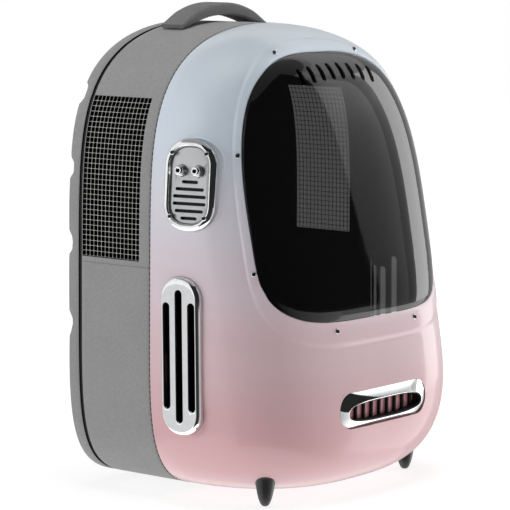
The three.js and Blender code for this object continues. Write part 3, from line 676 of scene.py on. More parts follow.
def makeShell():
    wall, count, edge, soft, sharp = pick(shellForm, "wall rings edge edgeRound sharp")
    span = bezelReach - windowReach
    bezel = [spokeRing(windowReach + share * span, rise) for share, rise in shellForm["bezel"]]
    start = windowReach + shellForm["bezel"][-1][0] * span
    shares = 1 - (1 - np.arange(1, count) / count) ** shellForm["crowding"]
    outer = [spokeRing(start + share * (seamReach - start), 0.0)
             for share in shares if share < shellForm["lastShare"]]
    seam = [outlineRing(seamOutline, inset, y)
            for inset, y in ((0.0, -edge), (soft * edge, -soft * edge), (edge, 0.0), (wall, 0.0))]
    inner = [spokeRing(start + share * (seamReach - start), -wall)
             for share in shares[:shellForm["innerLast"]:shellForm["innerStep"]]][::-1]
    inner.append(spokeRing(windowReach + shellForm["innerLip"] * span, -wall))
    skin = loft(bezel + outer + seam + inner, "ring")
    shell = addPiece("shellFront", skin, shellPaint, finBlack, sharp=sharp)
    cutters = [cutterFor(place, insetTrack(form, form["overlap"]))
               for place, form in zip(ventFrames + [panelFrame], (ventForm, ventForm, panelForm))]
    cutters.append(cutterFor(frontFrame, insetTrack(grilleForm, grilleForm["overlap"]), *grilleForm["cut"]))
    cutWith(shell, cutters, sharp)
    # Faces on the shell's inside take the black finish: painted shade for the dark cabin
    paintFaces(shell, lambda at, normal: (skinNormal(*at.T) * normal).sum(1) < shellForm["shadedInsideBelow"])
    settle(shell, "shell_gloss", "front_shell")


# Pink wall behind the grille fins, in the darker pink that paints in its shade
def makeTray():
    overlap, wall, back, front = pick(grilleForm, "overlap trayWall trayBack trayFront")
    hole, outer = insetTrack(grilleForm, overlap), insetTrack(grilleForm, overlap - wall)
    rings = ringsOn(frontFrame, [(hole, back + wall), (hole, front), (outer, front), (outer, back)])
    settle(addPiece("grilleTray", loft(rings, "fan"), trayPink), "shell_gloss")


makeShell()
makeTray()
print("shell made")

# Smoked bubble window with slots in its brow
paneForm = dict(
    gap=0.35, wall=2, rise=18, power=5, lowLoss=0.8, lossPower=1.5, rings=30, behind=-2.2,
    innerShares=[0.08, 0.2, 0.32], outerFrom=0.36, slots=8, slotPitch=15, slotSize=(6.4, 15),
    slotMiddle=386, slotDroop=0.0016, slotCut=(0, 150), slotSteps=8, sharp=60,
)


def bubbleRing(share, trim, setBack):
    middle, up, down = pick(windowForm, "middle up down")
    ring = spokeRing(share * (windowReach - trim), 0.0)
    height = np.clip((ring[:, 2] - middle + down) / (up + down), 0, 1)
    rise = paneForm["rise"] * (1 - paneForm["lowLoss"] * (1 - height) ** paneForm["lossPower"])
    ring[:, 1] += setBack - math.sqrt(max(0.0, 1 - share ** paneForm["power"])) * rise
    return ring


def makePane():
    gap, wall, count, behind, sharp = pick(paneForm, "gap wall slots behind sharp")
    slot = slotTrack(*paneForm["slotSize"], paneForm["slotSteps"])
    turns = np.linspace(0, math.pi / 2, paneForm["rings"], endpoint=False)
    shares = np.cos(turns[::-1]) ** (2 / paneForm["power"])
    shares = paneForm["innerShares"] + [s for s in shares if s > paneForm["outerFrom"]]
    outer = [bubbleRing(share, gap, 0.0) for share in shares]
    inner = [bubbleRing(share, gap + wall, wall) for share in shares][::-1]
    rim = [spokeRing(windowReach - gap, behind), spokeRing(windowReach - gap - wall, behind)]
    pane = addPiece("windowPane", loft(outer + rim + inner, "fan"), smokedPane, sharp=sharp)
    cutters = []
    for x in (np.arange(count) - (count - 1) / 2) * paneForm["slotPitch"]:
        z = paneForm["slotMiddle"] - paneForm["slotDroop"] * x * x - frontFrame["at"][2]
        cutters.append(cutterFor(frontFrame, slot, *paneForm["slotCut"], (x, z)))
    cutWith(pane, cutters, sharp)
    settle(pane, "smoked_pane", "window")


makePane()

# Screws in the bezel and on the panel ring
screwForm = dict(
    profile=[(1.6, 0.1), (1.75, 0.2), (1.85, 1.15), (2.05, 1.3), (2.35, 1.15), (2.6, 0.75), (2.75, 0.2),
             (2.75, -0.8)],
    recess=[(1.7, 0), (1.72, 0.7)], sides=20, panel=(17.4, 28.8, -28.4), panelScale=0.86, panelSeat=2.75,
    bezel=[(61.3, 402.5), (132.9, 314.5), (135.8, 210.7), (60.7, 154.2)], bezelSeat=1.55,
)


def addScrews(name, points, facing, scale, nodeName):
    nodes = [f"{nodeName}_{i + 1}" for i in range(len(points))]
    # Each screw also gets a black disc in its recess: painted shade in the hollow of the head
    for label, key, finish, slotName, replaced in (
            (name, "profile", chrome, "chrome", nodes),
            (name + "Recess", "recess", finBlack, "black_plastic", [])):
        profile = [(r * scale, h * scale) for r, h in screwForm[key]]
        part = addPart("screw", turned(profile, screwForm["sides"]))
        screws = growFrom(label, stampTree, toFrame(points), facing=facing, Part=part, Finish=finish)
        settle(screws, slotName, *replaced)


def makeScrews():
    x, z = np.array([(side * x, z) for x, z in screwForm["bezel"] for side, _ in sides]).T
    facing = skinNormal(*skinPoint(x, z, 0.0).T)
    addScrews("bezelScrews", skinPoint(x, z, screwForm["bezelSeat"]), facing, 1.0, "window_screw")
    across, top, low = screwForm["panel"]
    flat = [(side * across, height) for height in (top, low) for side, _ in sides]
    facing = np.tile(panelFrame["out"], (len(flat), 1))
    seats = onFrame(panelFrame, flat, screwForm["panelSeat"])
    addScrews("panelScrews", seats, facing, screwForm["panelScale"], "panel_screw")


makeScrews()
print("window and screws made")


# Chrome side vents: a pillow-edged cap with three slots; the inside and the slots' long walls are painted
# black as shade
def makeVent(name, place):
    edge, proud, sunk, wall, flat, width = pick(ventForm, "edge proud sunk wall flat slotWidth")
    arcs = np.linspace(math.pi / 2, ventForm["edgeEnd"], ventForm["edgeSteps"])
    rows = [(edge + flat, proud + ventForm["crown"])]
    rows += [(edge * (1 - math.cos(t)), proud - edge + edge * math.sin(t)) for t in arcs]
    rows += [(0.0, proud - edge), (0.0, -sunk), (wall, -sunk), (wall, proud - edge), (edge, proud - wall),
             (edge + flat, proud - wall)]
    vent = addPiece("vent_" + name, loft(insetRings(place, ventForm, rows), "fan"), chrome, blackPlastic)
    cutWith(vent, [
        cutterFor(place, slotTrack(width, height, ventForm["slotSteps"]), *ventForm["slotCut"], (across, 0))
        for across, height in ventForm["slots"]], sharp=35)
    soften(vent, ventForm["soft"])

    # Black on the vent's inside and on the slots' long walls: painted shade; the slot ends stay chrome
    def isShadePainted(at, normal):
        offset, outward = at - place["at"], normal @ place["out"]
        inSlots = np.abs(offset @ place["across"]) < ventForm["slotReach"]
        inSlots &= offset @ place["out"] < proud - ventForm["slotTop"]
        longWall = np.abs(normal @ place["up"]) < ventForm["darkUp"]
        longWall &= np.abs(outward) < ventForm["darkOut"]
        return (outward < ventForm["darkBelow"]) | (inSlots & longWall)

    paintFaces(vent, isShadePainted)
    settle(vent, "chrome", "side_vent_" + name)


# A raised paint lip on the skin around a side fitting
def makeLip(name, side, place, form):
    rings = []
    for inset, rise in form["lip"]:
        flat = onFrame(place, insetTrack(form, inset), 0.0)
        rings.append(sidePoint(side, flat[:, 1], flat[:, 2], rise))
    settle(addPiece(name, loft(rings, "ring"), shellPaint, sharp=60), "shell_gloss")


for (side, name), place in zip(sides, ventFrames):
    makeVent(name, place)
    makeLip("ventLip_" + name, side, place, ventForm)
makeLip("panelLip", -1, panelFrame, panelForm)

# Control panel: chrome ring, satin plate with slots, two push buttons
plateForm = dict(
    inset=6.95, proud=-0.3, sunk=3, slotWidth=3, slotTop=3, slotPitch=6.5, soft=0.3,
    slotLengths=[16.5, 29, 33.5, 33.5, 29, 16.5], buttonSpacing=17, buttonHeight=13, buttonHole=5.6,
    edge=[(0, 0.4), (0.15, 0.1), (0.5, 0)], backing=(1.5, 2.5), backingRound=4, backingGaps=(0.9, 0.3),
    slotSteps=8, holeSteps=10,
)
buttonForm = dict(
    profile=[(1.5, 5.2), (1.7, 5.4), (1.8, 7.3), (2.3, 7.6), (3.2, 7.5), (3.9, 7.1), (4.3, 6.5), (4.5, 5.8),
             (4.6, 4.4), (4.3, 4.1), (4.3, 3.5), (4.8, 3.2), (5.2, 0.6), (5.2, -6)],
    sides=40, recess=1.78,
)


def makePanel():
    inset, proud, sunk, top, pitch, lengths = pick(plateForm, "inset proud sunk slotTop slotPitch slotLengths")
    ring = loft(insetRings(panelFrame, panelForm, panelForm["ring"]), "ring")
    settle(addPiece("panelRing", ring, chrome), "chrome", "panel_ring")
    rows = [(inset, -sunk)] + [(inset + more, proud - below) for more, below in plateForm["edge"]]
    plate = addPiece("panelPlate", loft(insetRings(panelFrame, panelForm, rows), "fan"), satinMetal)
    slotSize, hole = pick(plateForm, "slotWidth slotSteps"), 2 * plateForm["buttonHole"]
    cutters = [cutterFor(panelFrame, slotTrack(length, *slotSize), shift=(0, top - i * pitch))
               for i, length in enumerate(lengths)]
    hole = slotTrack(hole, hole, plateForm["holeSteps"])
    cutters += [cutterFor(panelFrame, hole, shift=buttonSpot(side)) for side, _ in sides]
    cutWith(plate, cutters, sharp=40)
    soften(plate, plateForm["soft"])
    settle(plate, "satin_metal", "panel_plate")
    # Black sheet just behind the plate's slots: painted shade where the slots open into the cabin
    rise = (len(lengths) - 1) * pitch / 2
    wider, taller = plateForm["backing"]
    corner = pick(plateForm, "backingRound slotSteps")
    track = racetrack(max(lengths) / 2 + wider, rise + taller, *corner) + [0, top - rise]
    rings = ringsOn(panelFrame, [(track, -sunk - gap) for gap in plateForm["backingGaps"]])
    settle(addPiece("panelBacking", loft(rings, "fan"), finBlack), "black_plastic")  # close behind the slots


def buttonSpot(side):
    return np.array([side * plateForm["buttonSpacing"] / 2, plateForm["buttonHeight"]])


def makeButton(name, side):
    local, faces, _ = turned(buttonForm["profile"], buttonForm["sides"])
    points = onFrame(panelFrame, local[:, :2] + buttonSpot(side), local[:, 2])
    button = addPiece(name + "_cap", (points, faces, None), chrome, finBlack, sharp=50)
    seat, out = onFrame(panelFrame, buttonSpot(side), 0.0), panelFrame["out"]

    # Faces round the cap's middle take black: painted shade in its recess
    def isShadedRecess(at, normal):
        offset = at - seat
        return np.linalg.norm(offset - (offset @ out)[:, None] * out, axis=1) < buttonForm["recess"]

    paintFaces(button, isShadedRecess)
    settle(button, "chrome", name, bodyName=name)


makePanel()
makeButton("button_front", 1)
makeButton("button_rear", -1)
print("vents and panel made")


# Front grille: chrome bezel with an oval eye, fins, and a black ring behind the eye's rim as painted shade
def eyeLoops():
    turn, drop = turnsOf(grilleForm["loopPoints"]), [0, grilleForm["eyeDrop"]]
    halfWidth, halfHeight, *reach = pick(grilleForm, "halfWidth halfHeight eyeHalfWidth eyeHalfHeight")
    way = np.stack([np.cos(turn), np.sin(turn)], -1)
    eye = np.array(reach) * np.sign(way) * np.abs(way) ** (2 / grilleForm["eyePower"])
    fine = racetrack(halfWidth, halfHeight, halfHeight, grilleForm["cornerPoints"]) + drop
    fineTurn, eyeTurn = (np.arctan2(flat[:, 1] / reach[1], flat[:, 0] / reach[0]) for flat in (fine, eye))
    picks = [int(np.argmin(np.abs(np.angle(np.exp(1j * (fineTurn - t)))))) for t in eyeTurn]
    return fine[picks] - drop, eye - drop


def bowed(rings):
    for ring in rings:
        ring[:, 1] += ring[:, 0] ** 2 / (2 * grilleForm["bow"])


def makeGrille():
    rim, edge, front, crown, back, inset = pick(grilleForm, "rim eyeEdge front crown back rimInset")
    outer, eye = eyeLoops()
    span = np.linalg.norm(eye - outer, axis=1, keepdims=True)
    way = (eye - outer) / span
    shares = np.linspace(0, 1, grilleForm["crownSteps"])
    rows = [(outer, back), (outer, rim - grilleForm["rimStep"])]
    rows += [(outer + way * (inset + (span - edge - inset) * s),
              rim + (front - rim) * (crown * s + (1 - crown) * s * s)) for s in shares]
    rows += [(eye - way * edge * (1 - math.sin(t)), front - edge + edge * math.cos(t))
             for t in np.linspace(0, math.pi / 2, grilleForm["edgeSteps"])[1:]]
    rings = ringsOn(frontFrame, rows + [(eye, back)])
    bowed(rings[1:-1])
    settle(addPiece("grilleBezel", loft(rings, "ring"), chrome, sharp=45), "chrome", "grille_bezel")


finForm = dict(
    count=9, width=2.8, pitch=12.2, halfHeight=9.4, front=142, back=139.3, round=0.8, cornerShare=0.3,
    frameFront=148.2, frameBack=139, frameEye=(0.985, 0.9), frameOut=0.02,
)


def makeFins():
    half, tall, soft = finForm["width"] / 2, finForm["halfHeight"], finForm["round"]
    bevel = finForm["cornerShare"] * soft
    count, depth, drop = finForm["count"], finForm["front"] - finForm["back"], grilleForm["eyeDrop"]
    corner = [(half, 0), (half, depth - soft), (half - bevel, depth - bevel), (half - soft, depth)]
    section = [(-x, y) for x, y in corner] + corner[::-1]
    part = addPart("fin", loft([[(x, -y, z) for x, y in section] for z in (-tall, tall)], "fan"))
    points = [((i - (count - 1) / 2) * finForm["pitch"], -finForm["back"], frontFrame["at"][2] - drop)
              for i in range(count)]
    facing = np.tile([0.0, 0.0, 1.0], (count, 1))
    fins = growFrom("grilleFins", stampTree, toFrame(points), facing=facing, Part=part, Finish=finBlack)
    settle(fins, "black_plastic", "grille_fins")
    # Black ring round the inside of the eye: painted shade for the shadowed inner rim
    outer, eye = eyeLoops()
    inner = (eye + [0, drop]) * finForm["frameEye"] - [0, drop]
    outer = eye + (outer - eye) * finForm["frameOut"]
    front, behind = finForm["frameFront"], finForm["frameBack"]
    rings = ringsOn(frontFrame, [(outer, front), (inner, front), (inner, behind), (outer, behind)])
    bowed(rings[:2])
    settle(addPiece("finFrame", loft(rings, "ring"), finBlack), "black_plastic")


makeGrille()
makeFins()
print("grille made")

# Tapered front feet, their tops let into the shell wall
footForm = dict(
    x=109.7, y=-93.5, sides=48, bed=1.2, searchTop=120, searchSteps=40,
    profile=[(1.2, 0), (2.4, 0.35), (3.4, 1.1), (4.3, 2.4), (5.4, 4.9), (6.4, 7.7), (7.5, 12.4), (8.5, 18.1),
             (9.4, 25), (10.2, 33), (10.5, 38)],
)


def shellUnderside(x, y):
    low, high = np.zeros_like(x), np.full_like(x, footForm["searchTop"])
    for _ in range(footForm["searchSteps"]):
        middle = (low + high) / 2
        inside = skinPoint(x, middle, 0.0)[:, 1] < y
        low, high = np.where(inside, low, middle), np.where(inside, middle, high)
    return high


def makeFoot(side, name):
    local, faces, _ = turned(footForm["profile"], footForm["sides"])
    points = local + [side * footForm["x"], footForm["y"], -bodyOrigin[2]]
    points[:, 2] = np.minimum(points[:, 2], shellUnderside(points[:, 0], points[:, 1]) + footForm["bed"])
    foot = addPiece("foot_" + name + "_cone", (points, faces, None), blackPlastic, sharp=60)
    settle(foot, "black_plastic", "foot_" + name)


for side, name in sides:
    makeFoot(side, name)

# Padded cloth gusset with net windows
gussetForm = dict(
    wall=3.5, points=340, rows=[(0.04, 1.6), (0.9, 0.8), (2, 0.25), (4, 0), (9, -0.15)],
    tail=[(82.6, 0.1), (83.2, 0.4), (83.5, 1.2)], netRows=12, netInset=-0.15, sharp=60,
)
netForm = dict(
    front=12.8, back=82.6, bottom=215.8, top=362.4, columns=15, rows=31, wall=0.45, inset=0.7, hole=0.465,
    corner=0.7, seam=0.6, sideFrom=100, outerLevel=0.6, innerLevel=0.2, topAt=0.5, lowAt=0.3,
)


def makeGusset():
    front, back, bottom, top, seam = pick(netForm, "front back bottom top seam")
    back = back - seam
    outline = spreadOutline(gussetForm["points"], (bottom, top))
    netRows = [(y, gussetForm["netInset"]) for y in np.linspace(front, back, gussetForm["netRows"])]
    rows = gussetForm["rows"] + netRows + gussetForm["tail"]
    rings = [outlineRing(outline, inset, y) for y, inset in rows]
    points, faces, uvs = loft(rings, "open", outline["along"], [y for y, _ in rows])

    def isCloth(face):
        x, y, z = np.mean(points[list(face)], axis=0)
        return not (front < y < back and bottom < z < top and abs(x) > netForm["sideFrom"])

    faces, uvs = map(list, zip(*[pair for pair in zip(faces, uvs) if isCloth(pair[0])]))
    gusset = addPiece("gussetCloth", (points, faces, uvs),
                      greyCloth, liningCloth, sharp=gussetForm["sharp"], closed=False)
    # The gusset's inner side and cut rims take the lining: painted shade inside
    thick = gusset.modifiers.new("thick", "SOLIDIFY")
    thick.thickness, thick.offset = gussetForm["wall"] * mm, -1.0
    thick.material_offset = thick.material_offset_rim = 1
    bakeModifiers(gusset, gussetForm["sharp"])
    settle(gusset, "grey_fabric", "gusset")


def netCell(width, height):
    outer = np.array([(1, -1), (1, 0), (1, 1), (0, 1), (-1, 1), (-1, 0), (-1, -1), (0, -1)])
    outer = outer * [width / 2, height / 2]
    turn = np.arctan2(outer[:, 1] / height, outer[:, 0] / width)
    square = np.maximum(np.abs(np.cos(turn)), np.abs(np.sin(turn)))
    reach = netForm["hole"] * (1 - netForm["corner"] + netForm["corner"] / square)
    inner = np.stack([np.cos(turn) * reach * width, np.sin(turn) * reach * height], -1)
    half, thread = netForm["wall"] / 2, outer - inner
    outerLevel, innerLevel, topAt, lowAt = pick(netForm, "outerLevel innerLevel topAt lowAt")
    rows = [(outer, half * outerLevel), (inner + topAt * thread, half), (inner, half * innerLevel),
            (inner + lowAt * thread, -half), (outer, -half * outerLevel)]
    return loft([np.column_stack([track, np.full(len(track), level)]) for track, level in rows])


def makeNet(side, name):
    front, back, bottom, top, columns, rows = pick(netForm, "front back bottom top columns rows")
    width, height = (back - front) / columns, (top - bottom) / rows
    net = growFrom(
        "netPanel_" + name, fieldTree, Part=addPart("cell", netCell(width, height)), Finish=netThread,
        Columns=columns, Rows=rows, Width=(columns - 1) * width * mm, Height=(rows - 1) * height * mm)
    flat = np.zeros(len(net.data.vertices) * 3)
    net.data.vertices.foreach_get("co", flat)
    along, up, out = (flat.reshape(-1, 3) / mm).T
    y, z = along + (front + back) / 2, up + (bottom + top) / 2
    x = halfWidthAt(z) - netForm["inset"] + out
    net.data.vertices.foreach_set("co", toFrame(np.stack([side * x, y, z], -1)).ravel())
    faceOut(net)
    shadeSmooth(net, sharp=50)
    settle(net, "net", "net_" + name)


makeGusset()
for side, name in sides:
    makeNet(side, name)
print("gusset and nets made")

# Zip: black tape with teeth all round
zipForm = dict(
    front=82.3, back=87.4, inset=1.6, wall=2.6, edge=(0.5, 0.7), clothRun=[0, 1, 3, 4, 7, 11, 14],
    pitch=2.3, tooth=(1.3, 2.2, 1), toothInset=0.1,
)


def makeZip():
    front, back, inset, wall = pick(zipForm, "front back inset wall")
    deep, soft = zipForm["edge"]
    rows = [(inset + deep, front), (inset, front + soft), (inset, back - soft), (inset + deep, back),
            (inset + wall, back), (inset + wall, front)]
    rings = [outlineRing(seamOutline, depth, y) for depth, y in rows]
    tape = addPiece("zipTape", loft(rings, "ring", seamOutline["along"], zipForm["clothRun"]), blackTape)
    settle(tape, "zip_black", "zip")
    long, wide, high = (size / 2 for size in zipForm["tooth"])
    corners = ((-long, -wide), (long, -wide), (long, wide), (-long, wide))
    part = addPart("tooth", loft([[(x, y, z) for x, y in corners] for z in (-high, high)], "fan"))
    path = toFrame(outlineRing(seamOutline, inset + zipForm["toothInset"], (front + back) / 2))
    edges = [(i, (i + 1) % len(path)) for i in range(len(path))]
    teeth = growFrom("zipTeeth", rowTree, path, edges, Part=part, Finish=finBlack, Pitch=zipForm["pitch"] * mm)
    settle(teeth, "zip_black")


makeZip()

# Padded back with sewn cross channels
backForm = dict(
    front=87.5, back=100, middle=230, points=320, rings=70, grooves=[151.5, 225.5, 296, 364],
    groove=3.6, grooveWidth=8.2, crown=1, border=16, borderShares=(0.08, 0.25, 0.45, 0.65, 0.85, 1),
    rim=[(1.2, 86.8), (0.4, 87.1), (0, 87.9), (-0.15, 91.5), (-0.1, 95), (0.1, 97.2), (0.7, 98.6),
         (1.7, 99.5), (3.2, 99.9)],
    frontInset=3, insideShare=0.5, padFrom=92, padOver=6, lastShare=0.985,
    grooveSquare=8, crownSquare=3, liningBelow=-0.9,
)


def padShape(z, edge):
    grooves, width, square = pick(backForm, "grooves grooveWidth grooveSquare")
    dip = sum(np.exp(-((z - groove) / width) ** square) for groove in grooves)
    lines = np.array([0.0] + grooves + [body["height"]])
    cell = np.clip(np.searchsorted(lines, z) - 1, 0, len(lines) - 2)
    share = (z - lines[cell]) / (lines[cell + 1] - lines[cell])
    crown = backForm["crown"] * (1 - np.abs(2 * share - 1) ** backForm["crownSquare"])
    return (crown - backForm["groove"] * np.clip(dip, 0, 1)) * edge


def makeBack():
    outline = spreadOutline(backForm["points"])
    rear, middle, rim = pick(backForm, "back middle rim")
    front = outlineRing(outline, backForm["frontInset"], backForm["front"])
    inside = front + backForm["insideShare"] * (np.array([0, backForm["front"], middle]) - front)
    rings = [inside, front]
    for inset, y in rim:
        ring = outlineRing(outline, inset, y)
        ring[:, 1] += padShape(ring[:, 2], np.clip((y - backForm["padFrom"]) / backForm["padOver"], 0, 1))
        rings.append(ring)
    first, border = (outlineRing(outline, inset, rear) for inset in (rim[-1][0], backForm["border"]))
    steps = [first + share * (border - first) for share in backForm["borderShares"]]
    meshStart = (len(rings) + len(steps) - 1) * len(front)  # the spacer mesh begins at the border ring
    steps += [border + share * (np.array([0, rear, middle]) - border)
              for share in np.linspace(0.0, backForm["lastShare"], backForm["rings"])[1:]]
    for ring in steps:
        ring[:, 1] = rear + padShape(ring[:, 2], 1.0)
    points, faces, _ = loft(rings + steps, "fan")
    uvs = [[(points[i][0] + points[i][1], points[i][2]) for i in face] for face in faces]
    back = addPiece("backPad", (points, faces, uvs), greyCloth, airMesh, liningCloth, sharp=60)
    # Inward faces take the lining: painted shade inside the carrier
    for face in back.data.polygons:
        if face.normal.y < backForm["liningBelow"]:
            face.material_index = 2
        elif min(face.vertices) >= meshStart:
            face.material_index = 1
    settle(back, "grey_fabric", "back_panel")


makeBack()
print("zip and back made")


# Bands: a soft-cornered section carried along a smooth line through rows of x, y, z, width, thickness
def smoothRows(rows, steps):
    rows = np.asarray(rows, float)
    padded = np.vstack([2 * rows[0] - rows[1], rows, 2 * rows[-1] - rows[-2]])
    out = []
    for i in range(len(rows) - 1):
        a, b, c, d = padded[i:i + 4]
        for t in np.arange(steps) / steps:
            out.append(0.5 * (2 * b + (c - a) * t + (2 * a - 5 * b + 4 * c - d) * t ** 2
                              + (3 * b - a - 3 * c + d) * t ** 3))
    return np.array(out + [rows[-1]])


def bandFrames(rows, axis):
    middle = rows[:, :3]
    tangent = unit(np.gradient(middle, axis=0))
    across = unit(axis - (tangent @ axis)[:, None] * tangent)
    return middle, across, np.cross(tangent, across)


def bandSection(width, thick, corner, crown=0.1, least=0.05, perCorner=5):
    track = racetrack(width / 2, thick / 2, min(corner, thick / 2 - least), perCorner)
    track[:, 1] *= 1 + crown * (1 - (2 * track[:, 0] / width) ** 2)
    return track


def makeBand(name, rows, axis, corner, *finishes):
    middle, across, out = bandFrames(rows, axis)
    sections = [bandSection(row[3], row[4], corner) for row in rows]
    rings = [middle[i] + section[:, :1] * across[i] + section[:, 1:] * out[i]
             for i, section in enumerate(sections)]
    around = np.vstack([sections[-1], sections[-1][:1]])
    lengths = [runningSum(np.linalg.norm(np.diff(line, axis=0), axis=1)) for line in (around, middle)]
    return addPiece(name, loft(rings, "fan", *lengths), *finishes, sharp=60)


bandStitch = (greyThread, 4.2, 3.0, 0.4)  # thread, pitch, length, radius


def stitchBand(name, rows, axis, share, lift):
    middle, across, out = bandFrames(rows, axis)
    for i, side in enumerate((-share, share)):
        line = middle + across * (rows[:, 3:4] / 2 * side) + out * (rows[:, 4:5] / 2 * lift)
        addStitches(f"{name}_{i}", line, *bandStitch)


# Grab handle with stitched edges
handleForm = dict(
    y=58.5, width=27, corner=2.2, steps=6, stitchAt=0.84, stitchLift=-1.06, top=(0, 440.5, 11),
    half=[(63, 424.6, 3.4), (54, 428.2, 6.4), (40, 434, 9), (20, 439, 10.4)],
)


def makeHandle():
    y, width, half = pick(handleForm, "y width half")
    axis = np.array([0, 1.0, 0])
    rows = [(-x, z, thick) for x, z, thick in half] + [handleForm["top"]] + half[::-1]
    rows = smoothRows([(x, y, z, width, thick) for x, z, thick in rows], handleForm["steps"])
    handle = makeBand("grabHandle", rows, axis, handleForm["corner"], handleCloth)
    settle(handle, "grey_fabric", "handle")
    stitchBand("handleStitch", rows, axis, *pick(handleForm, "stitchAt stitchLift"))


makeHandle()

# Shoulder straps, adjusters and webbing of the right side; the left side mirrors them
strapForm = dict(
    rows=[(44, 105.2, 396, 50, 9), (47, 108, 372, 54, 11.5), (54, 119, 334, 58, 12),
          (62, 127, 285, 58, 12), (70, 128, 236, 54, 12), (77, 121.5, 196, 46, 11),
          (82, 114.2, 165, 36, 8)],
    webbing=[(83.6, 112.4, 157, 25, 2), (87.3, 109.4, 128, 25, 2), (97, 106.4, 96, 25, 2),
             (110, 103.1, 62, 25, 2), (117, 101.8, 42, 25, 2)],
    corner=4.6, webbingCorner=0.8, steps=8, stitchAt=0.8, stitchLift=1.02, meshBelow=-0.6,
)
adjusterForm = dict(
    ends=[(82.2, 113.8, 164.1), (84.6, 110.9, 147)], width=34, thick=6, edge=0.8, corner=2.5, cornerPoints=6,
    slot=(13.2, 1.9, 0.8, 4), slots=(-4.2, 3.4),
)


def makeStrap(side, name):
    mirror, axis, steps = np.array([side, 1, 1, 1, 1]), np.array([1.0, 0, 0]), strapForm["steps"]
    rows = smoothRows(np.array(strapForm["rows"]) * mirror, steps)
    strap = makeBand("shoulderStrap_" + name, rows, axis, strapForm["corner"], greyCloth, airMesh)
    paintFaces(strap, lambda at, normal: normal[:, 1] < strapForm["meshBelow"])
    settle(strap, "grey_fabric", "strap_" + name)
    outward = math.copysign(1, bandFrames(rows, axis)[2][len(rows) // 2][1])
    stitchBand("strapStitch_" + name, rows, axis, strapForm["stitchAt"], outward * strapForm["stitchLift"])
    rows = smoothRows(np.array(strapForm["webbing"]) * mirror, steps)
    webbing = makeBand("strapWebbing_" + name, rows, axis, strapForm["webbingCorner"], blackTape)
    settle(webbing, "zip_black", "webbing_" + name)


def makeAdjuster(side, name):
    top, low = np.array(adjusterForm["ends"]) * [side, 1, 1]
    up = unit(top - low)
    across = unit(np.array([1.0, 0, 0]) - up[0] * up)
    out = np.cross(across, up)
    if out[1] < 0:
        across, out = -across, -out
    place = {"at": (top + low) / 2, "across": across, "up": up, "out": out}
    width, thick, edge, *corner = pick(adjusterForm, "width thick edge corner cornerPoints")
    half, tall, deep = width / 2, np.linalg.norm(top - low) / 2, thick / 2
    rings = ringsOn(place, [(racetrack(half - inset, tall - inset, *corner), level) for inset, level in (
        (edge, -deep), (0.0, -deep + edge), (0.0, deep - edge), (edge, deep))])
    buckle = addPiece("adjuster_" + name + "_buckle", loft(rings, "fan"), blackPlastic)
    slot = racetrack(*adjusterForm["slot"])
    cutWith(buckle, [cutterFor(place, slot, shift=(0, y)) for y in adjusterForm["slots"]], sharp=40)
    settle(buckle, "black_plastic", "adjuster_" + name)


for side, name in sides:
    makeStrap(side, name)
    makeAdjuster(side, name)
print("handle and straps made")

# Stitch lines on the gusset and along the shell joint
seamForm = dict(
    joint=(0.25, 0.15), jointStitch=(5.2, 3.9, 0.55), height=210, rise=0.2, ends=(2, 82), points=24,
    netStitch=(3.2, 2.4, 0.35),
)


def makeSeams():
    joint = outlineRing(seamOutline, *seamForm["joint"])
    addStitches("jointStitch", joint, darkThread, *seamForm["jointStitch"], closed=True)
    height, reach = seamForm["height"], float(halfWidthAt(seamForm["height"])) + seamForm["rise"]
    for side, name in sides:
        line = [(side * reach, y, height) for y in np.linspace(*seamForm["ends"], seamForm["points"])]
        addStitches("netSeam_" + name, line, greyThread, *seamForm["netStitch"])


makeSeams()

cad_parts["rear_rest"].data.materials.clear()
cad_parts["rear_rest"].data.materials.append(rubberLook)
print("seams made")

# Camera at the photograph's angle
cameraForm = dict(
    azimuth=51.56, elevation=7.03, roll=0.452, at=(-1903.13, -1495.70, 510.85),
    lens=180.935, sensor=36, far=100,
)


def makeCamera():
    turn, rise, roll = (math.radians(angle) for angle in pick(cameraForm, "azimuth elevation roll"))
    back = Vector((-math.sin(turn) * math.cos(rise), -math.cos(turn) * math.cos(rise), math.sin(rise)))
    level = Vector((math.cos(turn), -math.sin(turn), 0))
    upright = back.cross(level)
    right = level * math.cos(roll) + upright * math.sin(roll)
    up = upright * math.cos(roll) - level * math.sin(roll)
    data = bpy.data.cameras.new("camera")
    data.lens, data.sensor_width, data.clip_end = pick(cameraForm, "lens sensor far")
    camera = addObject("camera", data)
    camera.matrix_world = Matrix((right, up, back)).transposed().to_4x4()
    camera.matrix_world.translation = Vector(cameraForm["at"]) * mm
    bpy.context.scene.camera = camera


makeCamera()

